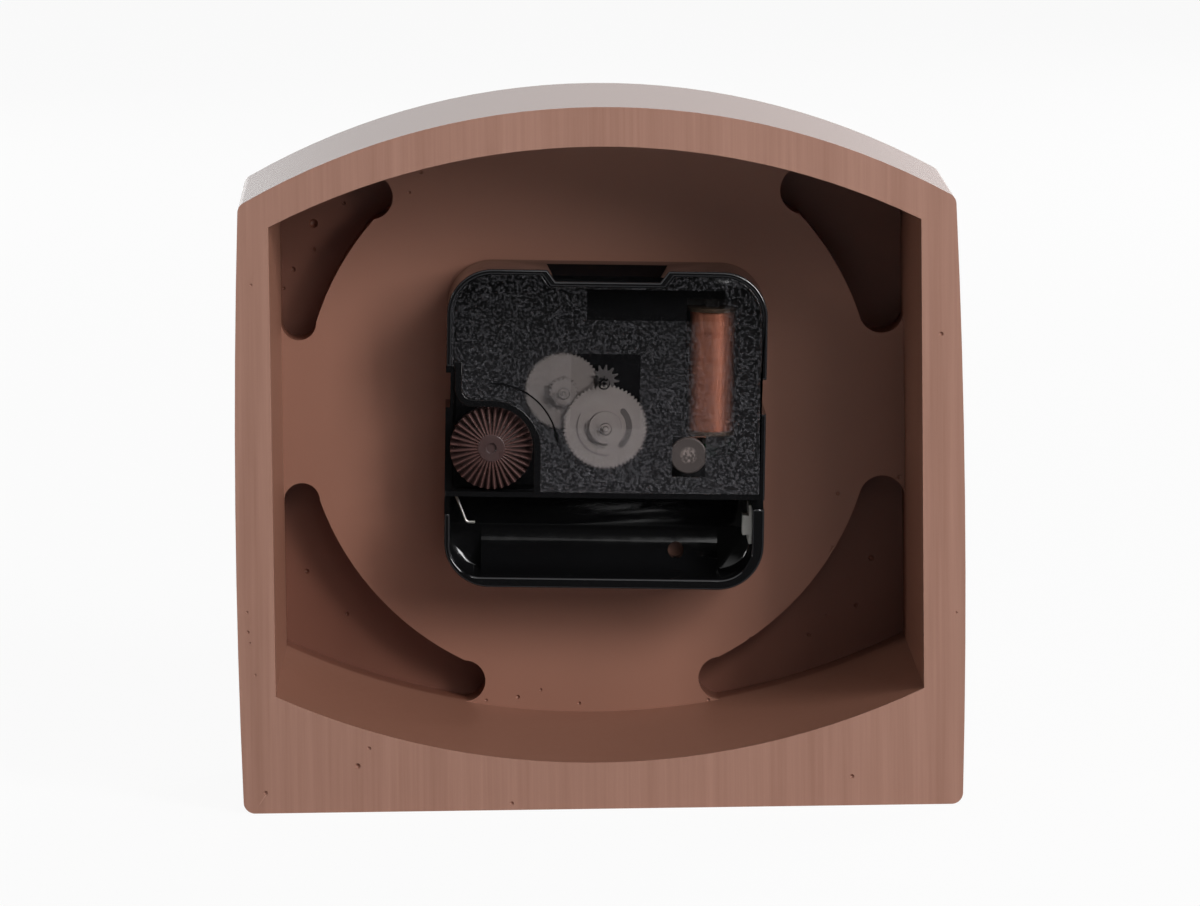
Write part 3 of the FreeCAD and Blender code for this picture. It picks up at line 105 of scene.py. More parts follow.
# %% Wires
class Wire:
    def __init__(self, finish, socket):
        self.finish = finish
        self.socket = socket

    def math(self, operation, *values):
        return self.finish.node("ShaderNodeMath", {"operation": operation}, values)

    def __add__(self, other):
        return self.math("ADD", self, other)

    def __sub__(self, other):
        return self.math("SUBTRACT", self, other)

    def __rsub__(self, other):
        return self.math("SUBTRACT", other, self)

    def __mul__(self, other):
        return self.math("MULTIPLY", self, other)

    __radd__ = __add__
    __rmul__ = __mul__

    def spread(self, low, high, to_low=0.0, to_high=1.0):
        """Maps the stretch from low to high onto another one, held at its ends."""
        sockets = {"Value": self, "From Min": low, "From Max": high, "To Min": to_low, "To Max": to_high}
        return self.finish.node("ShaderNodeMapRange", {"clamp": True}, sockets)


print("a wire knows:", [word for word in vars(Wire) if not word.startswith("_")])


# %% [markdown]
# ## A finish and the nodes it is made of
#
# A Finish is one material that starts from the Principled shader. It adds any node by its type, and has
# short names for those that nearly every finish needs: a place on the piece, a noise, a blend of two
# colours and a bump. Object coordinates are used for places, so a grain keeps its size in millimetres.

# %% Finishes
class Finish:
    def __init__(self, name, slot_colour, **shader):
        self.material = bpy.data.materials.new(name)
        self.material.use_nodes = True
        self.tree = self.material.node_tree
        self.shader = self.tree.nodes["Principled BSDF"]
        self.surface = Wire(self, self.shader.outputs[0])
        self.output = self.tree.nodes["Material Output"]
        self.set("Base Color", (*slot_colour, 1))
        for word, value in shader.items():
            self.set(word.replace("_", " "), value)

    def set(self, socket, value):
        self.fill(self.shader.inputs[socket], value)

    def fill(self, socket, value):
        if isinstance(value, Wire):
            self.tree.links.new(value.socket, socket)
        else:
            socket.default_value = value

    def node(self, kind, settings=None, sockets=None, output=0):
        made = self.tree.nodes.new(kind)
        for word, value in (settings or {}).items():
            setattr(made, word, value)
        pairs = sockets.items() if isinstance(sockets, dict) else enumerate(sockets or ())
        for key, value in pairs:
            self.fill(made.inputs[key], value)
        return Wire(self, made.outputs[output])

    def place(self):
        return self.node("ShaderNodeTexCoord", output="Object")

    def along(self, axis):
        return self.node("ShaderNodeSeparateXYZ", None, [self.place()], axis)

    def reach(self, centre):
        """The squared distance from an axis that runs along Y through a centre."""
        across = self.along("X") - centre.x
        up = self.along("Z") - centre.z
        return across * across + up * up

    def attribute(self, name):
        return self.node("ShaderNodeAttribute", {"attribute_name": name}, output="Fac")

    def noise(self, scale, detail=2.0, stretch=(1, 1, 1)):
        spot = self.node("ShaderNodeMapping", None, {"Vector": self.place(), "Scale": stretch})
        sockets = {"Vector": spot, "Scale": scale, "Detail": detail}
        return self.node("ShaderNodeTexNoise", {"noise_dimensions": "3D"}, sockets)

    def blend(self, factor, first, second):
        """Mixes two colours. The Mix node keeps its colour sockets at 6 and 7, and gives its colour at 2."""
        return self.node("ShaderNodeMix", {"data_type": "RGBA"}, {0: factor, 6: first, 7: second}, 2)

    def bump(self, height, strength, distance):
        sockets = {"Height": height, "Strength": strength, "Distance": distance}
        self.set("Normal", self.node("ShaderNodeBump", None, sockets))


def colour(red, green, blue):
    """A colour given as it looks on a screen, from 0 to 255, as the linear one that shaders take."""
    def linear(part):
        share = part / 255
        return share / 12.92 if share <= 0.04045 else ((share + 0.055) / 1.055) ** 2.4
    return (linear(red), linear(green), linear(blue))


def opaque(rgb):
    return (*rgb, 1)


print("screen grey 128 is", round(colour(128, 128, 128)[0], 3), "in linear light")


# %% [markdown]
# ## The cast resin of the case
#
# The real case is resin poured in a rubber mould, tinted brown all through. Its back edge was sanded flat
# on a belt, which left fine upright streaks, while the outer faces came satin smooth from the mould.
# Object coordinates tell the two apart: only points on the back plane get the streaks. Little light gets
# into the corner pockets, so the resin deeper than the web is painted darker there: a painted shade.

# %% Resin
def make_resin(name, lift):
    """The resin of the case. A lift above one paints a paler line along its edges: a painted highlight."""
    sanded_depth = 0.4 * MM
    lip_depth = 6 * MM
    pocket_depth = 2.5 * MM
    outer_roughness = 0.26

    def tone(red, green, blue):
        return opaque(colour(red * lift, green * lift, blue * lift))

    resin = Finish(name, colour(152, 105, 89), Roughness=0.4, Specular_IOR_Level=0.5)
    depth = resin.along("Y")
    rim = depth.spread(case_high.y - sanded_depth, case_high.y - sanded_depth / 2)
    inside = depth.spread(case_high.y - lip_depth, case_high.y - 0.5 * MM, 1, 0)
    outer = resin.attribute("outer")
    cloud = resin.noise(28, 3)
    grain = resin.noise(900, 2)
    streak = resin.noise(1, 4, (1500, 20, 34))
    wide_streak = resin.noise(1, 2, (330, 20, 12))
    # painted shade: resin deeper than the web, in the corner pockets, is darkened, except on outer faces
    deep = depth.spread(web_back - pocket_depth, web_back - 0.6 * MM, 1, 0)
    base = resin.blend(cloud, tone(140, 96, 78), tone(154, 108, 90))
    base = resin.blend(deep * (1 - outer) * 0.85, base, tone(112, 66, 50))
    sanded = resin.blend((streak + wide_streak) * 0.5, tone(134, 93, 76), tone(186, 143, 126))
    resin.set("Base Color", resin.blend(rim * 0.8, base, sanded))
    satin = rim.spread(0, 1, 0.38, 0.52) + inside * 0.06 + grain * 0.05
    resin.set("Roughness", satin * (1 - outer) + outer * outer_roughness)
    height = rim * streak * 0.7 + cloud * 0.9 + grain * 0.12
    resin.bump(height, 0.35, 0.12 * MM)
    return resin.material


FINISHES = {
    "resin": make_resin("cast_resin", 1.0),
    # a paler copy of the resin for the rounded edges: a painted highlight
    "resin painted highlight": make_resin("cast_resin_painted_highlight", 1.12),
}
print("resin nodes:", len(FINISHES["resin"].node_tree.nodes))


# %% [markdown]
# ## Black plastics
#
# The housing is glossy black plastic, and the plate under the cover is the same plastic left matt. A black
# piece shows almost nothing but what it mirrors, so both keep a very dark colour and differ in roughness.

# %% Black plastics
def make_black(name, level, gloss):
    """Glossy black. Rounded edges get a higher level, a painted highlight, and more gloss, as they catch
    light from all round.
    """
    black = Finish(name, (level, level, level * 1.09), Roughness=0.2, Specular_IOR_Level=gloss)
    mould = black.noise(420, 3)
    black.set("Roughness", mould.spread(0.3, 0.7, 0.08, 0.16))
    black.bump(mould, 0.1, 0.05 * MM)
    return black.material


def make_plate_black():
    black = Finish("matte_black_plastic", (0.006, 0.006, 0.007), Roughness=0.5, Specular_IOR_Level=0.2)
    mould = black.noise(900, 3)
    black.set("Roughness", mould.spread(0.3, 0.7, 0.42, 0.58))
    black.bump(mould, 0.2, 0.05 * MM)
    return black.material


FINISHES["black"] = make_black("black_plastic", 0.0055, 0.5)
# a lighter copy of the black for rounded edges: a painted highlight
FINISHES["black painted highlight"] = make_black("black_plastic_painted_highlight", 0.02, 0.6)
FINISHES["plate"] = make_plate_black()
print("finishes so far:", list(FINISHES))


# %% [markdown]
# ## The smoky cover
#
# The cover is black plastic with little pigment, clear enough to show the wheels. Its face is spark-eroded
# to a fine frost, except for two polished fields: the window over the wheels and the nameplate. Rough
# transmission blurs what lies under the frost, the more so the deeper it lies, as real frosted plastic
# does. A noise mixes in a little diffuse light, which shows as grain. Light has to reach the wheels too,
# so the cover lets shadow rays through with its own tint.

# %% Smoky cover
# left, right, foot and top edges, in mm from the shaft
WINDOW = (-5.9, 6.2, 0.3, 13.4)
NAMEPLATE = (-20.4, 3.6, 19.3, 24.7)


def let_light_through(finish, tint):
    """Shadow rays pass a clear piece with a tint in place of the dark shadow of refraction."""
    ray = finish.node("ShaderNodeLightPath", output="Is Shadow Ray")
    clear = finish.node("ShaderNodeBsdfTransparent", None, {"Color": opaque(tint)})
    mixed = finish.node("ShaderNodeMixShader", None, [ray, finish.surface, clear])
    finish.tree.links.new(mixed.socket, finish.output.inputs["Surface"])


def field(finish, edges):
    """A mask that is one inside a rectangle, square to the slightly turned movement."""
    left, right, foot, top = (edge * MM for edge in edges)
    soft = 0.03 * MM
    cosine = math.cos(MOVEMENT_TURN)
    sine = math.sin(MOVEMENT_TURN)
    x = finish.along("X") - shaft.x
    z = finish.along("Z") - shaft.z
    across = x * cosine - z * sine
    up = z * cosine + x * sine
    inside_x = across.spread(left - soft, left + soft) * across.spread(right - soft, right + soft, 1, 0)
    inside_z = up.spread(foot - soft, foot + soft) * up.spread(top - soft, top + soft, 1, 0)
    return inside_x * inside_z


def make_smoky():
    skin = 0.1 * MM
    foot = shaft.z - 12 * MM
    top = shaft.z + 20 * MM
    smoky = Finish("smoky_plastic", (0.42, 0.42, 0.43), Transmission_Weight=1.0, IOR=1.46)
    outside = smoky.along("Y").spread(cover_back - 2 * skin, cover_back - skin)
    frosted = (1 - field(smoky, WINDOW) - field(smoky, NAMEPLATE)) * outside
    frost = smoky.noise(2300, 2)
    height = smoky.along("Z")
    # grain and diffuse share both grow towards the foot, so the cover is lighter low down: painted light
    grain = height.spread(foot, top, 0.09, 0.055)
    painted_light_low = height.spread(foot, top, 0.022, 0.0)
    smoky.set("Base Color", smoky.blend(frost * frosted, (0.40, 0.40, 0.41, 1), (0.50, 0.49, 0.49, 1)))
    smoky.set("Roughness", frosted.spread(0, 1, 0.03, 0.23))
    smoky.bump(frost * frosted, 0.25, 0.05 * MM)
    glints = (frost.spread(0.47, 0.61) * grain + painted_light_low) * frosted
    scatter = smoky.node("ShaderNodeBsdfDiffuse", None, {"Color": (0.55, 0.54, 0.59, 1)})
    smoky.surface = smoky.node("ShaderNodeMixShader", None, [glints, smoky.surface, scatter])
    let_light_through(smoky, (0.80, 0.80, 0.80))
    return smoky.material


FINISHES["smoky"] = make_smoky()
print("smoky nodes:", len(FINISHES["smoky"].node_tree.nodes))


# %% [markdown]
# ## Pale wheels, the melted stake and the knob
#
# The wheels are plain pale plastic, a little uneven in tone. The stake that holds the board was melted flat
# with a hot tool, so the middle of its head is rough and paler. The knob is brown, and the valleys between
# its ribs are painted darker than the ribs: a painted shade, where little light gets in. The distance from a
# piece's own axis makes the round masks, and the depth below the knob's face makes the painted valley shade.

# %% Pale and brown plastics
def make_pale():
    pale = Finish("pale_plastic", colour(205, 196, 190), Roughness=0.42)
    cloud = pale.noise(300, 2)
    darker = opaque(colour(186, 173, 167))
    lighter = opaque(colour(212, 201, 195))
    pale.set("Base Color", pale.blend(cloud, darker, lighter))
    pale.bump(pale.noise(2500, 2), 0.15, 0.03 * MM)
    return pale.material


def make_stake():
    pressed_radius = 1.0 * MM
    smooth_radius = 1.6 * MM
    stake = Finish("melted_plastic", colour(78, 69, 67), Roughness=0.5)
    reach = stake.reach(middle("board_stake"))
    pressed = reach.spread(pressed_radius ** 2, smooth_radius ** 2, 1, 0)
    rough = stake.noise(2200, 3)
    paler = pressed * rough.spread(0.4, 0.6)
    stake.set("Base Color", stake.blend(paler, opaque(colour(68, 60, 58)), opaque(colour(122, 110, 106))))
    stake.bump(rough * pressed, 0.8, 0.12 * MM)
    return stake.material


def make_knob_brown():
    hub_radius = 2.3 * MM
    hub_edge = 0.15 * MM
    valley_depth = 0.6 * MM
    brown = Finish("knob_brown", colour(80, 57, 54), Roughness=0.3)
    hub = brown.reach(middle("setting_knob")).spread(hub_radius ** 2, (hub_radius + hub_edge) ** 2, 1, 0)
    valley_shade = brown.along("Y").spread(knob_back - valley_depth, knob_back - 0.05 * MM, 1, 0)
    cloud = brown.noise(500, 2)
    ribs = brown.blend(cloud, opaque(colour(84, 60, 57)), opaque(colour(112, 82, 78)))
    # painted shade: the valleys between the ribs are darkened, where little light gets in
    ribs = brown.blend(valley_shade * 0.85, ribs, opaque(colour(24, 16, 15)))
    brown.set("Base Color", brown.blend(hub, ribs, opaque(colour(70, 52, 51))))
    brown.set("Roughness", cloud.spread(0.3, 0.7, 0.24, 0.4))
    brown.bump(brown.noise(3000, 2), 0.12, 0.03 * MM)
    return brown.material


FINISHES["pale"] = make_pale()
FINISHES["stake"] = make_stake()
FINISHES["knob"] = make_knob_brown()
print("finishes so far:", len(FINISHES))


# %% [markdown]
# ## Metals, copper wire, card, glass and the rest
#
# Each of these is a Principled shader with one or two small things of its own: turning marks on brass and
# the lay of the turns on the coil. The plainest ones need only a cloud of tone and a faint relief, so one
# function makes them all from a row of numbers.

# %% Metals and small finishes
def make_metal(name, rgb, roughness, marks=700, metallic=1.0, relief=0.08):
    metal = Finish(name, rgb, Metallic=metallic, Roughness=roughness)
    brushed = metal.noise(1, 3, (marks, marks * 0.1, marks))
    metal.set("Roughness", brushed.spread(0.3, 0.7, roughness * 0.75, roughness * 1.25))
    metal.bump(brushed, relief, 0.03 * MM)
    return metal.material


def make_copper():
    turn_width = 0.16 * MM
    copper = Finish("enamelled_copper", colour(226, 138, 100), Metallic=0.5, Roughness=0.4)
    height = copper.along("Z") * (2 * math.pi / turn_width)
    turns = copper.node("ShaderNodeMath", {"operation": "SINE"}, [height])
    cloud = copper.noise(260, 3, (1, 1, 3))
    darker = opaque(colour(208, 116, 86))
    lighter = opaque(colour(250, 166, 130))
    copper.set("Base Color", copper.blend(cloud, darker, lighter))
    copper.bump(turns * 0.5 + cloud, 0.3, 0.04 * MM)
    return copper.material


def make_plain(name, rgb, roughness, scale, relief, spread=0.85, **shader):
    """A finish from its colour, roughness, cloud scale, relief in mm and darkest tone."""
    plain = Finish(name, rgb, Roughness=roughness, **shader)
    cloud = plain.noise(scale, 3)
    darker = tuple(part * spread for part in rgb)
    plain.set("Base Color", plain.blend(cloud, opaque(darker), opaque(rgb)))
    plain.bump(cloud, 0.2, relief * MM)
    return plain.material


def make_glass():
    glass = Finish("lens_glass", (0.97, 0.98, 0.98), Roughness=0.0, Transmission_Weight=1.0, IOR=1.45)
    ripple = glass.noise(60, 1)
    glass.bump(ripple, 0.02, 0.02 * MM)
    let_light_through(glass, (0.96, 0.97, 0.97))
    return glass.material


FINISHES.update({
    "brass": make_metal("turned_brass", colour(190, 152, 98), 0.28),
    "bezel": make_metal("bezel_brass", colour(186, 152, 108), 0.3, 260, relief=0.02),
    "steel": make_metal("nickel_strip", colour(222, 218, 210), 0.38),
    "contact": make_metal("bright_contact", colour(240, 238, 232), 0.5, metallic=0.4),
    "iron": make_metal("soft_iron", colour(100, 97, 95), 0.5),
    "copper": make_copper(),
    "glass": make_glass(),
    # the same pale plastic, darker for the wheel that lies deeper under the cover: a painted shade
    "pale painted shade": make_plain("pale_plastic_painted_shade", colour(174, 163, 157), 0.45, 300, 0.02, 0.9),
    # darker pale for the wheel's raised ribs: a painted shade, as of a groove beside each step
    "groove": make_plain("shaded_groove", colour(138, 130, 126), 0.5, 900, 0.02),
    "amber": make_plain("amber_plastic", colour(104, 82, 62), 0.45, 700, 0.02),
    # grey for the star on the rotor: a painted highlight for the glints of its dark teeth
    "grey": make_plain("grey_plastic_painted_glint", colour(128, 122, 120), 0.25, 700, 0.02),
    "magnet": make_plain("sintered_magnet", colour(70, 70, 74), 0.5, 900, 0.05, Metallic=0.6),
    "card": make_plain("dial_card", colour(232, 224, 206), 0.7, 700, 0.03, 0.96),
    "print": make_plain("printed_black", colour(34, 31, 30), 0.5, 900, 0.01, 0.8),
    "hand": make_plain("satin_black_paint", colour(26, 25, 25), 0.35, 1200, 0.02, 0.8),
    "rubber": make_plain("gasket_rubber", colour(30, 30, 30), 0.8, 1500, 0.05, 0.7),
    "board": make_plain("solder_mask", colour(26, 92, 54), 0.35, 600, 0.02, 0.8),
    "chip": make_plain("potting_resin", colour(16, 16, 16), 0.25, 300, 0.05, 0.7),
})
print("finishes:", len(FINISHES))


# %% [markdown]
# ## Rounded edges on a machined or moulded piece
#
# No real edge is perfectly sharp, and the thin bright line along an edge is what makes a piece look real.
# A copy of the packed mesh is merged, its flat faces are joined, and a Bevel modifier rounds each edge
# that turns by more than a set angle. Weighted normals keep the large faces flat in the light.

# %% Softening helper
def finish_mesh(piece, materials, smooth_angle=32):
    piece.data.materials.clear()
    for material in materials:
        piece.data.materials.append(FINISHES[material])
    for face in piece.data.polygons:
        face.use_smooth = True
        face.material_index = 0
    piece.data.set_sharp_from_angle(angle=math.radians(smooth_angle))


def link(name, mesh):
    piece = bpy.data.objects.new(name, mesh)
    bpy.context.scene.collection.objects.link(piece)
    return piece


def clean_copy(node):
    """A copy of a packed mesh with its points merged and its flat faces joined."""
    same_place = 0.002 * MM
    same_plane = math.radians(0.4)
    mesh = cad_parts[node].data.copy()
    shape = bmesh.new()
    shape.from_mesh(mesh)
    bmesh.ops.remove_doubles(shape, verts=shape.verts, dist=same_place)
    bmesh.ops.dissolve_limit(shape, angle_limit=same_plane, verts=shape.verts, edges=shape.edges)
    shape.to_mesh(mesh)
    shape.free()
    return mesh


def round_edges(piece, width, segments=3, smooth_angle=32, edge_material=-1):
    bevel = piece.modifiers.new("rounded edges", "BEVEL")
    bevel.width = width
    bevel.segments = segments
    bevel.limit_method = "ANGLE"
    bevel.angle_limit = math.radians(smooth_angle)
    bevel.use_clamp_overlap = True
    bevel.harden_normals = False
    bevel.material = edge_material


def even_light(piece):
    even = piece.modifiers.new("even light", "WEIGHTED_NORMAL")
    even.keep_sharp = True


def hand_over(piece, node, body):
    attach(piece, body)
    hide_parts(node)


def soften(node, name, body, material, width, segments=3, smooth_angle=32):
    piece = link(name, clean_copy(node))
    finish_mesh(piece, [material], smooth_angle)
    round_edges(piece, width, segments, smooth_angle)
    even_light(piece)
    hand_over(piece, node, body)


print("points in the packed cover:", len(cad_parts["movement_cover"].data.vertices))


# %% [markdown]
# ## The case and its air bubbles
#
# Air trapped against the rubber mould leaves small round pinholes in a casting. They are real hollows, so
# small balls are cut out of the case where a straight look from the back meets its surface. Before that,
# the faces that nothing on the case looks back at are marked as outer ones: those are the glossy ones.
# The Bevel modifier gives its narrow faces a paler resin: a painted highlight along each edge.

# %% Case
# across and up from the middle of the foot, and radius, all in mm
PINHOLES = (
    (49.5, 98.1, 0.85), (49.4, 93.5, 0.4), (53.2, 90.0, 0.45), (54.9, 86.6, 0.35), (44.0, 101.6, 0.35),
    (-48.9, 36.9, 0.55), (-46.2, 28.4, 0.45), (-37.7, 23.2, 0.4), (-53.5, 52.5, 0.35), (51.6, 35.9, 0.45),
    (44.6, 28.1, 0.4), (-40.8, 26.7, 0.3), (30.3, 107.7, 0.4), (32.4, 104.2, 0.35), (-59.0, 82.1, 0.4),
    (-42.7, 49.7, 0.4), (14.4, 14.0, 0.4), (10.3, 15.2, 0.3), (3.5, 12.7, 0.35), (20.0, 13.5, 0.3),
    (-19.4, 13.0, 0.35), (-40.1, 36.9, 0.3), (-41.6, 40.3, 0.25), (-26.9, 24.0, 0.25), (58.5, 3.6, 0.4),
    (40.5, 11.2, 0.35), (42.5, 8.1, 0.5), (15.9, 1.2, 0.35), (-43.1, 5.1, 0.4), (61.2, 35.3, 0.25),
    (61.1, 31.8, 0.3), (60.8, 29.9, 0.2), (60.0, 24.3, 0.25), (59.6, 92.1, 0.25), (-61.3, 33.6, 0.25),
)


def mark_outer(mesh, solid):
    just_off = 0.05 * MM
    looks_back = 0.8
    mark = mesh.attributes.new("outer", "FLOAT", "FACE")
    for face in mesh.polygons:
        start = face.center + face.normal * just_off
        free = solid.ray_cast(start, face.normal)[0] is None
        mark.data[face.index].value = float(free and face.normal.y < looks_back)


def bubbles(solid):
    shape = bmesh.new()
    for across, up, radius in PINHOLES:
        place = Matrix.Translation(seen_from_back(solid, across * MM, up * MM))
        bmesh.ops.create_icosphere(shape, subdivisions=2, radius=radius * MM, matrix=place)
    mesh = bpy.data.meshes.new("bubbles")
    shape.to_mesh(mesh)
    shape.free()
    return link("bubbles", mesh)


def cast_case():
    case = link("case_shell", clean_copy("case_body"))
    mark_outer(case.data, case_solid)
    finish_mesh(case, ["resin", "resin painted highlight"])
    # the narrow faces of the rounded edges get the paler resin, a painted highlight
    round_edges(case, 0.4 * MM, edge_material=1)
    cutter = bubbles(case_solid)
    cut = case.modifiers.new("pinholes", "BOOLEAN")
    cut.operation = "DIFFERENCE"
    cut.solver = "EXACT"
    cut.object = cutter
    graph = bpy.context.evaluated_depsgraph_get()
    drilled = bpy.data.meshes.new_from_object(case.evaluated_get(graph), depsgraph=graph)
    case.modifiers.clear()
    case.data = drilled
    drilled.set_sharp_from_angle(angle=math.radians(32))
    bpy.data.objects.remove(cutter)
    even_light(case)
    hand_over(case, "case_body", "case")
    print("case faces:", len(drilled.polygons), "materials:", [slot.name for slot in drilled.materials])


cast_case()


# %% [markdown]
# ## The housing's rim, the cover, knob, bezel and hands
#
# Each gets its own radius: tight on the moulded cover, tighter still on the knob's ribs. The housing's fine
# steps leave no room for a bevel all round, and the modifier's own limit would shrink it to nothing. So
# only the rim at its back is rounded: those edges are marked by weight, and the limit is taken off. The
# inner pieces keep their packed meshes and only get a finish.

# %% Main pieces
def mark_rim(mesh, centre, reach, level):
    """Marks the edges between a back face and a side wall, far from the centre and behind a level."""
    faces_aside = 0.3
    faces_back = 0.9
    weights = mesh.attributes.new("bevel_weight_edge", "FLOAT", "EDGE")
    sides = {}
    for face in mesh.polygons:
        for key in face.edge_keys:
            sides.setdefault(key, []).append(face.normal.y)
    marked = 0
    for edge in mesh.edges:
        low, high = sorted(sides.get(edge.key, (0, 0)))[:2]
        spot = (mesh.vertices[edge.vertices[0]].co + mesh.vertices[edge.vertices[1]].co) / 2
        far = max(abs(spot.x - centre.x), abs(spot.z - centre.z)) > reach and spot.y > level
        chosen = far and abs(low) < faces_aside and high > faces_back
        weights.data[edge.index].value = float(chosen)
        marked += chosen
    return marked


def moulded_housing():
    rim_reach = 25 * MM
    rim_depth = 2.5 * MM
    housing = link("housing_shell", clean_copy("movement_housing"))
    marked = mark_rim(housing.data, middle("movement_housing"), rim_reach, housing_back - rim_depth)
    finish_mesh(housing, ["black", "black painted highlight"])
    # the rounded rim gets the lighter black, a painted highlight
    round_edges(housing, 0.3 * MM, edge_material=1)
    bevel = housing.modifiers["rounded edges"]
    bevel.limit_method = "WEIGHT"
    bevel.use_clamp_overlap = False
    even_light(housing)
    hand_over(housing, "movement_housing", "case")
    print("rim edges of the housing:", marked)


moulded_housing()
soften("movement_cover", "cover_plate", "case", "smoky", 0.16 * MM)
soften("setting_knob", "knob_ribs", "setting", "knob", 0.07 * MM, 2, 24)
soften("bezel", "bezel_ring", "case", "bezel", 0.2 * MM)
soften("board_stake", "stake_head", "case", "stake", 0.25 * MM)
soften("hour_hand", "hour_pointer", "hour", "hand", 0.08 * MM, 2)
soften("minute_hand", "minute_pointer", "minute", "hand", 0.08 * MM, 2)
soften("second_hand", "second_pointer", "seconds", "hand", 0.06 * MM, 2)

FINISHED_NODES = {
    "glass": ["lens"],
    "card": ["dial"],
    "brass": ["shaft_nut", "shaft_washer", "threaded_bushing", "minute_arbor"],
    "rubber": ["rubber_gasket"],
    "plate": ["middle_plate"],
    "magnet": ["rotor_magnet"],
    "black": ["rotor_pinion"],
    # the intermediate wheel gets the darker pale, a painted shade
    "pale painted shade": ["intermediate_wheel"],
    "pale": ["seconds_wheel", "third_wheel", "centre_wheel", "motion_wheel", "hour_wheel", "setting_pinion"],
    "iron": ["stator", "coil_core"],
    "amber": ["coil_bobbin"],
    "copper": ["coil_winding"],
    "board": ["circuit_board"],
    "chip": ["chip_blob"],
    "steel": ["quartz_crystal", "negative_contact"],
    "contact": ["positive_contact"],
}
for material, nodes in FINISHED_NODES.items():
    for node in nodes:
        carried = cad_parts[node]
        carried.data.materials.clear()
        carried.data.materials.append(FINISHES[material])
print("packed pieces with a finish:", sum(len(nodes) for nodes in FINISHED_NODES.values()))


# %% [markdown]
# ## The dial's printing
#
# The front doesn't show in the reference, so the dial is a plain one. Its sixty minute marks repeat, which
# is what Geometry Nodes are for: one bar is pushed out to the track's radius and set once for each point
# of a line of points, turned a little further each time. The result is made a plain mesh.

# %% Marks by Geometry Nodes
def ring_of_marks(name, count, radius, length, width, height, material):
    tree = bpy.data.node_groups.new(name + " tree", "GeometryNodeTree")
    face = tree.interface
    face.new_socket("Geometry", in_out="OUTPUT", socket_type="NodeSocketGeometry")
    sizes = {}
    given_sizes = {"Count": count, "Radius": radius, "Length": length, "Width": width, "Height": height}
    for word, value in given_sizes.items():
        kind = "NodeSocketInt" if word == "Count" else "NodeSocketFloat"
        sizes[face.new_socket(word, in_out="INPUT", socket_type=kind).identifier] = value
    nodes = tree.nodes
    links = tree.links
    given = nodes.new("NodeGroupInput")
    result = nodes.new("NodeGroupOutput")
    bar_size = nodes.new("ShaderNodeCombineXYZ")
    bar = nodes.new("GeometryNodeMeshCube")
    out = nodes.new("ShaderNodeCombineXYZ")
    pushed = nodes.new("GeometryNodeTransform")
    points = nodes.new("GeometryNodeMeshLine")
    number = nodes.new("GeometryNodeInputIndex")
    share = nodes.new("ShaderNodeMath")
    turn = nodes.new("ShaderNodeMath")
    spin = nodes.new("ShaderNodeCombineXYZ")
    copies = nodes.new("GeometryNodeInstanceOnPoints")
    real = nodes.new("GeometryNodeRealizeInstances")
    coated = nodes.new("GeometryNodeSetMaterial")
    share.operation = "DIVIDE"
    turn.operation = "MULTIPLY"
    turn.inputs[1].default_value = 2 * math.pi
    points.inputs["Offset"].default_value = (0, 0, 0)
    coated.inputs["Material"].default_value = FINISHES[material]
    links.new(given.outputs["Width"], bar_size.inputs["X"])
    links.new(given.outputs["Height"], bar_size.inputs["Y"])
    links.new(given.outputs["Length"], bar_size.inputs["Z"])
    links.new(bar_size.outputs[0], bar.inputs["Size"])
    links.new(bar.outputs["Mesh"], pushed.inputs["Geometry"])
    links.new(given.outputs["Radius"], out.inputs["Z"])
    links.new(out.outputs[0], pushed.inputs["Translation"])
    links.new(given.outputs["Count"], points.inputs["Count"])
    links.new(number.outputs[0], share.inputs[0])
    links.new(given.outputs["Count"], share.inputs[1])
    links.new(share.outputs[0], turn.inputs[0])
    links.new(turn.outputs[0], spin.inputs["Y"])
    links.new(points.outputs["Mesh"], copies.inputs["Points"])
    links.new(pushed.outputs["Geometry"], copies.inputs["Instance"])
    links.new(spin.outputs[0], copies.inputs["Rotation"])
    links.new(copies.outputs["Instances"], real.inputs["Geometry"])
    links.new(real.outputs["Geometry"], coated.inputs["Geometry"])
    links.new(coated.outputs["Geometry"], result.inputs["Geometry"])
    holder = link(name, bpy.data.meshes.new(name))
    modifier = holder.modifiers.new("marks", "NODES")
    modifier.node_group = tree
    for identifier, value in sizes.items():
        modifier[identifier] = value
    graph = bpy.context.evaluated_depsgraph_get()
    mesh = bpy.data.meshes.new_from_object(holder.evaluated_get(graph), depsgraph=graph)
    holder.modifiers.clear()
    holder.data = mesh
    return holder


def carry(piece, body):
    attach(piece, body)


def settle(piece, place, body):
    """Moves the mesh, not the object, to its place and lets the piece ride on a body."""
    piece.data.transform(Matrix.Translation(place))
    carry(piece, body)


print_height = 0.04 * MM
dial_face = Vector((shaft.x, dial_front, shaft.z))
track_radius = 37.2 * MM
minutes = ring_of_marks("minute_marks", 60, track_radius, 1.6 * MM, 0.35 * MM, print_height, "print")
hours = ring_of_marks("hour_marks", 12, track_radius - 0.4 * MM, 2.6 * MM, 1.0 * MM, print_height, "print")
settle(minutes, dial_face, "case")
settle(hours, dial_face, "case")
print("faces of the minute marks:", len(minutes.data.polygons))


# %% [markdown]
# ## The numbers
#
# The numbers are text set flat in the XY plane, stood up and moved to their places on a ring inside the
# marks. They are joined to one mesh, because a dial is printed in one go.

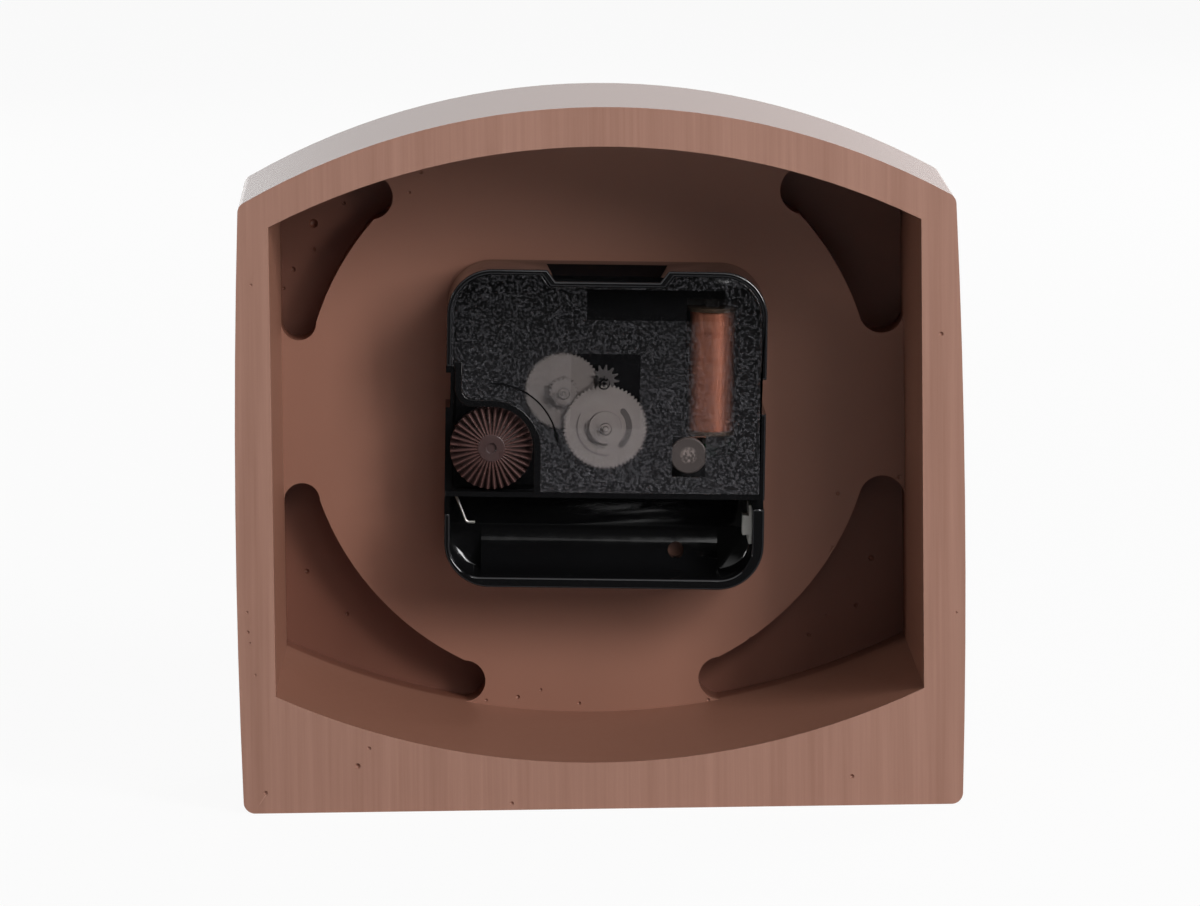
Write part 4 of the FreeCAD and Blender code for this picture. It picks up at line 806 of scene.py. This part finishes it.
# %% Numbers one to twelve
def numerals(size, radius):
    shape = bmesh.new()
    stand_up = Matrix.Rotation(math.radians(90), 4, "X")
    for hour in range(1, 13):
        words = bpy.data.curves.new(f"number_{hour}", "FONT")
        words.body = str(hour)
        words.size = size
        words.align_x = "CENTER"
        words.align_y = "CENTER"
        words.extrude = print_height / 2
        words.resolution_u = 6
        holder = link(f"number_{hour}", words)
        graph = bpy.context.evaluated_depsgraph_get()
        mesh = bpy.data.meshes.new_from_object(holder.evaluated_get(graph), depsgraph=graph)
        angle = math.radians(90 - 30 * hour)
        spot = Vector((radius * math.cos(angle), 0, radius * math.sin(angle)))
        mesh.transform(Matrix.Translation(spot) @ stand_up)
        shape.from_mesh(mesh)
        bpy.data.objects.remove(holder)
    joined = bpy.data.meshes.new("dial_numbers")
    shape.to_mesh(joined)
    shape.free()
    piece = link("dial_numbers", joined)
    joined.materials.clear()
    joined.materials.append(FINISHES["print"])
    for face in joined.polygons:
        face.material_index = 0
    return piece


number_size = 7.4 * MM
number_radius = 30.2 * MM
numbers = numerals(number_size, number_radius)
settle(numbers, dial_face, "case")
print("points of the numbers:", len(numbers.data.vertices))


# %% [markdown]
# ## Bent bars: the arrow, the wheel's ribs and the knob's ring
#
# Round the knob the cover carries a raised double arrow: the knob turns both ways. The seconds wheel has a
# ring round its hub and ribs in arcs. All are one shape, a flat bar bent to an arc about an axis, whose
# half width near its ends follows a rule: slender heads for the arrow, round ends for the ribs.

# %% Bent bars
def slender_head(width, head):
    def half(near_end):
        return width / 2 if near_end > head else width * (1.15 * near_end / head + 0.05)
    return half


def round_end(width):
    def half(near_end):
        left_over = max(0.0, 1 - near_end / (width / 2))
        return width / 2 * max(math.sqrt(1 - left_over ** 2), 0.05)
    return half


def bent_bar(name, axis, radius, start, end, height, half_width, material):
    """An arc in the XZ plane from a start to an end angle, in degrees, standing back from the axis point."""
    steps = 90
    corners = ((-1, 0), (-1, 1), (1, 1), (1, 0))
    whole = abs(end - start) >= 360
    shape = bmesh.new()
    rows = []
    for number in range(steps if whole else steps + 1):
        share = number / steps
        angle = math.radians(start + (end - start) * share)
        to_end = min(share, 1 - share) * abs(math.radians(end - start)) * radius
        half = half_width(1.0 if whole else to_end)
        row = []
        for side, level in corners:
            reach = radius + side * half
            across = axis.x + reach * math.cos(angle)
            up = axis.z + reach * math.sin(angle)
            row.append(shape.verts.new((across, axis.y + height * level, up)))
        rows.append(row)
    following_rows = rows[1:] + rows[:1] if whole else rows[1:]
    for first, second in zip(rows, following_rows):
        for corner in range(4):
            following = (corner + 1) % 4
            shape.faces.new((first[corner], first[following], second[following], second[corner]))
    if not whole:
        shape.faces.new(rows[0])
        shape.faces.new(list(reversed(rows[-1])))
    bmesh.ops.recalc_face_normals(shape, faces=shape.faces)
    mesh = bpy.data.meshes.new(name)
    shape.to_mesh(mesh)
    shape.free()
    mesh.materials.append(FINISHES[material])
    return link(name, mesh)


knob_axis = Vector((middle("setting_knob").x, cover_back, middle("setting_knob").z))
arrow_radius = 11.6 * MM
arrow_height = 0.14 * MM
arrow_heads = slender_head(0.3 * MM, 2.2 * MM)
arrow = bent_bar("cover_arrow", knob_axis, arrow_radius, 90, 178, arrow_height, arrow_heads, "black")
carry(arrow, "case")
print("arrow faces:", len(arrow.data.polygons))


# %% [markdown]
# ## Outlines pushed along Y
#
# The wall of the knob's well, the pins under the cover and the star on the rotor are flat outlines with a
# thickness. One helper pushes such an outline along Y and rounds its edges. The movement sits slightly
# turned, so two more turn a place from its own directions into the scene's, and back.

# %% Outlines pushed along Y
def turned_place(across, up):
    """A place given from the shaft in the movement's own slightly turned directions."""
    cosine = math.cos(MOVEMENT_TURN)
    sine = math.sin(MOVEMENT_TURN)
    return Vector((shaft.x + across * cosine + up * sine, 0, shaft.z + up * cosine - across * sine))


def add_prism(shape, outline, low, high):
    """Pushes a closed outline of places in the XZ plane from one level along Y to another."""
    front = [shape.verts.new((spot.x, low, spot.z)) for spot in outline]
    back = [shape.verts.new((spot.x, high, spot.z)) for spot in outline]
    for number in range(len(outline)):
        following = (number + 1) % len(outline)
        shape.faces.new((front[number], front[following], back[following], back[number]))
    shape.faces.new(front)
    shape.faces.new(back)


def pushed(name, outlines, low, high, material, edge):
    shape = bmesh.new()
    for outline in outlines:
        add_prism(shape, outline, low, high)
    bmesh.ops.recalc_face_normals(shape, faces=shape.faces)
    mesh = bpy.data.meshes.new(name)
    shape.to_mesh(mesh)
    shape.free()
    piece = link(name, mesh)
    finish_mesh(piece, [material])
    round_edges(piece, edge, 2)
    return piece


def arc(centre, radius, start, end, steps):
    """Places along an arc, given from the shaft, with angles in degrees."""
    for number in range(steps + 1):
        angle = math.radians(start + (end - start) * number / steps)
        yield centre[0] + radius * math.cos(angle), centre[1] + radius * math.sin(angle)


def untwisted(spot):
    """The place of a point from the shaft in the movement's own directions."""
    across = spot.x - shaft.x
    up = spot.z - shaft.z
    cosine = math.cos(MOVEMENT_TURN)
    sine = math.sin(MOVEMENT_TURN)
    return across * cosine - up * sine, up * cosine + across * sine


knob_place = untwisted(middle("setting_knob"))
print("knob from the shaft:", [round(value / MM, 2) for value in knob_place], "mm")


# %% [markdown]
# ## The well's wall
#
# The knob sits in a well, whose wall is the glossiest and darkest line on the cover. It comes down from the
# lip at the side, round a small curve, then round the knob and down to the battery bay. Two such lines, one
# inside the other, close to the outline of a flat strip.

# %% Wall of the knob's well
def well_line(inset):
    """The wall's line at a distance inside its outer side, from the lip down to the bay."""
    radius = 8.6 * MM - inset
    ease = 2.05 * MM + inset
    left = 25.25 * MM + inset
    lip = 11.7 * MM - inset
    side = 26.6 * MM
    foot = -11.9 * MM
    top = knob_place[1] + radius
    yield side, lip
    yield left, lip
    yield from arc((left - ease, top + ease), ease, 0, -90, 8)
    yield from arc(knob_place, radius, 90, 180, 24)
    yield knob_place[0] - radius, foot


wall_width = 1.15 * MM
wall_foot = cover_back - 0.05 * MM
wall_top = cover_back + 0.12 * MM
wall_line = list(well_line(0)) + list(reversed(list(well_line(wall_width))))
wall_outline = [turned_place(*spot) for spot in wall_line]
wall = pushed("well_wall", [wall_outline], wall_foot, wall_top, "black", 0.06 * MM)
carry(wall, "case")
print("points round the wall:", len(wall_outline))


# %% [markdown]
# ## The pins under the cover
#
# Short round posts are moulded under the cover to hold it off the plate. They show as small dark discs.

# %% Pins under the cover
# across and up from the shaft, and radius, all in mm
PINS = (
    (-10.2, 3.9, 1.0), (-20.2, -8.9, 1.1), (-23.7, -8.2, 0.9), (5.4, -8.9, 0.9), (-1.4, -9.8, 0.8),
)


def pin_outline(across, up, radius):
    round_places = arc((across * MM, up * MM), radius * MM, 0, 345, 23)
    return [Vector((shaft.x + right, 0, shaft.z + rise)) for right, rise in round_places]


cover_inside = cover_back - 1.2 * MM
pin_height = 0.7 * MM
pin_outlines = [pin_outline(*pin) for pin in PINS]
pins = pushed("cover_pins", pin_outlines, cover_inside - pin_height, cover_inside, "black", 0.1 * MM)
carry(pins, "case")
print("pins:", len(PINS))


# %% [markdown]
# ## The star on the rotor
#
# Through the polished window a small grey disc with blunt teeth shows beside the seconds wheel. It is the
# rotor's end, and it turns with the rotor. Its grey is a painted highlight for the glints of dark teeth.

# %% Star on the rotor
def star(centre, root, tip, teeth):
    """Blunt teeth: each stays at the root for a while, rises, and stays at the tip for a while."""
    steps = ((0.0, root), (0.3, root), (0.55, tip), (0.75, tip))
    outline = []
    for tooth in range(teeth):
        for share, reach in steps:
            angle = 2 * math.pi * (tooth + share) / teeth
            across = centre.x + reach * math.cos(angle)
            up = centre.z + reach * math.sin(angle)
            outline.append(Vector((across, 0, up)))
    return outline


plate_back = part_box("middle_plate")[1].y
star_foot = plate_back + 0.4 * MM
star_top = plate_back + 1.0 * MM
star_outline = star(middle("rotor_pinion"), 1.9 * MM, 2.8 * MM, 13)
# the star's grey finish is a painted highlight on dark teeth
rotor_star = pushed("rotor_star", [star_outline], star_foot, star_top, "grey", 0.12 * MM)
carry(rotor_star, "rotor")
print("star from", round(star_foot / MM, 2), "to", round(star_top / MM, 2), "mm")


# %% [markdown]
# ## Ribs of the seconds wheel and the ring on the knob
#
# The seconds wheel has a ring round its hub, thin ribs in arcs and one broad one. They are as dark as a
# shaded groove in the photo, so they are low bars in a darker finish. The knob has a small ring on its hub.

# %% Ribs of the seconds wheel
def back_face(node, axis, beyond):
    """How far back a piece reaches, not counting what lies nearer to the axis than beyond."""
    points = [point.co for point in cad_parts[node].data.vertices]
    return max(spot.y for spot in points if math.hypot(spot.x - axis.x, spot.z - axis.z) > beyond)


hub_radius = 3.2 * MM
rib_height = 0.08 * MM
wheel_axis = Vector((shaft.x, back_face("seconds_wheel", shaft, hub_radius), shaft.z))
# radius in mm, start and end in degrees, width in mm
WHEEL_RIBS = {
    "hub_ring": (2.75, 0, 360, 0.22),
    "inner_rib": (3.5, -88, 12, 0.16),
    "outer_rib": (4.95, -97, 30, 0.18),
    "key_rib": (4.2, 132, 236, 1.05),
}
# the ribs are real, and their darker finish is a painted shade
for name, (radius, start, end, width) in WHEEL_RIBS.items():
    ends = round_end(width * MM)
    rib = bent_bar(f"wheel_{name}", wheel_axis, radius * MM, start, end, rib_height, ends, "groove")
    carry(rib, "seconds")

ring_foot = back_face("setting_knob", knob_axis, 0) - 0.05 * MM
ring_axis = Vector((knob_axis.x, ring_foot, knob_axis.z))
ring = bent_bar("knob_ring", ring_axis, 1.15 * MM, 0, 360, rib_height, round_end(0.25 * MM), "knob")
carry(ring, "setting")
next_back = back_face("intermediate_wheel", middle("intermediate_wheel"), hub_radius)
print("wheel ribs:", len(WHEEL_RIBS), "at", round(wheel_axis.y / MM, 2), "mm")
print("next wheel's back at", round(next_back / MM, 2), "mm")


# %% [markdown]
# ## Camera
#
# The camera stands where the photographer's did: behind the clock, a little above it, far back with a
# long lens. Its distance, height and turns come from a fit to the photo.

# %% Camera
def aim_camera():
    distance = 1400 * MM
    elevation = math.radians(7.5)
    side_turn = math.radians(1.03)
    roll = math.radians(-0.63)
    photo_width = 1200
    focal_pixels = 8124
    target = Vector((-0.02 * MM, case_high.y, 62.2 * MM))
    level = math.cos(elevation)
    back = Vector((math.sin(side_turn) * level, math.cos(side_turn) * level, math.sin(elevation)))
    right = (-back).cross(Vector((0, 0, 1))).normalized()
    up = right.cross(-back)
    turned_right = right * math.cos(roll) + up * math.sin(roll)
    turned_up = up * math.cos(roll) - right * math.sin(roll)
    lens = bpy.data.cameras.new("photo camera")
    lens.sensor_fit = "HORIZONTAL"
    lens.sensor_width = 36
    lens.lens = focal_pixels * lens.sensor_width / photo_width
    lens.clip_start = 0.05
    lens.clip_end = 20
    camera = link("photo camera", lens)
    turn = Matrix((turned_right, turned_up, back)).transposed().to_4x4()
    camera.matrix_world = Matrix.Translation(target + back * distance) @ turn
    bpy.context.scene.camera = camera


aim_camera()
print("camera lens:", round(bpy.context.scene.camera.data.lens, 1), "mm")


# %% [markdown]
# ## Sky and floor
#
# The photo has a white backdrop and a white table, yet the black plastic stays black. So the sky and the
# floor are white to the camera and brighter to mirrors that look away from it, but nearly black to those
# that look back to its side, where the room is dark. The sky is also bright overhead for mirrors, which
# draws the thin lines along the black edges. Neither lights the clock much: that is left to the lamps.

# %% Sky and floor
def shade(tree, kind, inputs, settings=None):
    made = tree.nodes.new(kind)
    for word, setting in (settings or {}).items():
        setattr(made, word, setting)
    for socket, value in inputs.items():
        if isinstance(value, bpy.types.NodeSocket):
            tree.links.new(value, made.inputs[socket])
        else:
            made.inputs[socket].default_value = value
    return made.outputs[0]


def sum_of(tree, operation, first, second):
    return shade(tree, "ShaderNodeMath", {0: first, 1: second}, {"operation": operation})


def stretch(tree, value, low, high, to_low, to_high):
    sockets = {"Value": value, "From Min": low, "From Max": high, "To Min": to_low, "To Max": to_high}
    return shade(tree, "ShaderNodeMapRange", sockets)


def ray_kinds(tree):
    path = tree.nodes.new("ShaderNodeLightPath")
    return [path.outputs[f"Is {kind} Ray"] for kind in ("Camera", "Glossy", "Transmission")]


# how bright the sky and the floor are to the piece itself, to mirrors and to the camera
SKY_LIGHT = 0.05
CAMERA_SIDE_GLOSS = 0.04
OVERHEAD_GLOSS = 0.8
FLOOR_WHITE = 0.94
FLOOR_GLOSS = 0.35
FLOOR_CAMERA_SIDE_GLOSS = 0.02


def make_sky():
    """White to the camera, to glass, and to mirrors that look away from the photographer's dark side."""
    world = bpy.data.worlds.new("studio")
    world.use_nodes = True
    bpy.context.scene.world = world
    tree = world.node_tree
    soft = tree.nodes["Background"]
    soft.inputs["Strength"].default_value = SKY_LIGHT
    soft.inputs["Color"].default_value = (1, 1, 1, 1)
    white = shade(tree, "ShaderNodeBackground", {"Color": (1, 1, 1, 1)})
    camera, glossy, transmission = ray_kinds(tree)
    way = shade(tree, "ShaderNodeSeparateXYZ", {})
    tree.links.new(tree.nodes.new("ShaderNodeTexCoord").outputs["Generated"], way.node.inputs[0])
    guided = sum_of(tree, "MAXIMUM", glossy, transmission)
    away = stretch(tree, way.node.outputs["Y"], -0.6, -0.1, 1.0, CAMERA_SIDE_GLOSS)
    overhead = stretch(tree, way.node.outputs["Z"], 0.4, 0.6, 0.0, OVERHEAD_GLOSS)
    white_share = sum_of(tree, "MAXIMUM", away, overhead)
    mirrored = sum_of(tree, "MULTIPLY", guided, white_share)
    seen = sum_of(tree, "MAXIMUM", camera, mirrored)
    dark = shade(tree, "ShaderNodeBackground", {"Color": (0, 0, 0, 1)})
    others = shade(tree, "ShaderNodeMixShader", {0: guided, 1: soft.outputs[0], 2: dark})
    mixed = shade(tree, "ShaderNodeMixShader", {0: seen, 1: others, 2: white})
    tree.links.new(mixed, tree.nodes["World Output"].inputs["Surface"])


def make_floor():
    mesh = bpy.data.meshes.new("floor")
    reach = 6.0
    level = -0.02 * MM
    signs = ((-1, -1), (1, -1), (1, 1), (-1, 1))
    corners = [(reach * across, reach * along, level) for across, along in signs]
    mesh.from_pydata(corners, [], [(0, 1, 2, 3)])
    floor = link("floor", mesh)
    paint = bpy.data.materials.new("pale floor")
    paint.use_nodes = True
    tree = paint.node_tree
    shader = tree.nodes["Principled BSDF"]
    shader.inputs["Base Color"].default_value = (0.86, 0.86, 0.86, 1)
    shader.inputs["Roughness"].default_value = 0.9
    camera, glossy, transmission = ray_kinds(tree)
    guided = sum_of(tree, "MAXIMUM", glossy, transmission)
    place = tree.nodes.new("ShaderNodeNewGeometry").outputs["Position"]
    spot = shade(tree, "ShaderNodeSeparateXYZ", {0: place})
    fade = stretch(tree, spot.node.outputs["Y"], -0.1, 0.15, FLOOR_GLOSS, FLOOR_CAMERA_SIDE_GLOSS)
    mirrored = sum_of(tree, "MULTIPLY", guided, fade)
    glow = sum_of(tree, "ADD", camera, mirrored)
    white = shade(tree, "ShaderNodeEmission", {"Color": (1, 1, 1, 1), "Strength": glow})
    share = sum_of(tree, "MAXIMUM", sum_of(tree, "MULTIPLY", camera, FLOOR_WHITE), guided)
    mixed = shade(tree, "ShaderNodeMixShader", {0: share, 1: shader.outputs[0], 2: white})
    tree.links.new(mixed, tree.nodes["Material Output"].inputs["Surface"])
    mesh.materials.append(paint)


make_sky()
make_floor()


# %% [markdown]
# ## Lamps
#
# The main light is a tall softbox to the right of the camera, with weaker ones above it and at the camera.
# A narrow one lights the left side, and two light the front. Their levels are such that each colour renders
# about as it is written, so the Standard view transform is used and nothing is graded afterwards.

# %% Lamps
# place in metres, width and height in metres, and power in watts
LAMPS = {
    "tall softbox": ((-0.885, 0.95, 0.60), 0.35, 0.7, 11.6),
    "upper softbox": ((-0.61, 1.05, 0.76), 0.35, 0.35, 3.4),
    "camera softbox": ((-0.26, 1.24, 0.65), 0.35, 0.35, 0.9),
    "left softbox": ((1.14, 0.66, 0.54), 0.12, 0.3, 1.8),
    "front softbox": ((-0.8, -1.2, 0.42), 0.8, 0.7, 8.0),
    "small front softbox": ((0.5, -1.25, 0.32), 0.35, 0.5, 1.8),
}


def hang_lamps():
    clock_middle = (case_low + case_high) / 2
    for name, (place, width, height, power) in LAMPS.items():
        light = bpy.data.lights.new(name, "AREA")
        light.shape = "RECTANGLE"
        light.size = width
        light.size_y = height
        light.energy = power
        lamp = link(name, light)
        lamp.location = place
        lamp.rotation_euler = (Vector(place) - clock_middle).to_track_quat("Z", "Y").to_euler()


hang_lamps()
bpy.context.scene.view_settings.view_transform = "Standard"
print("lamps:", len(LAMPS))


# %% [markdown] ## End of the scene
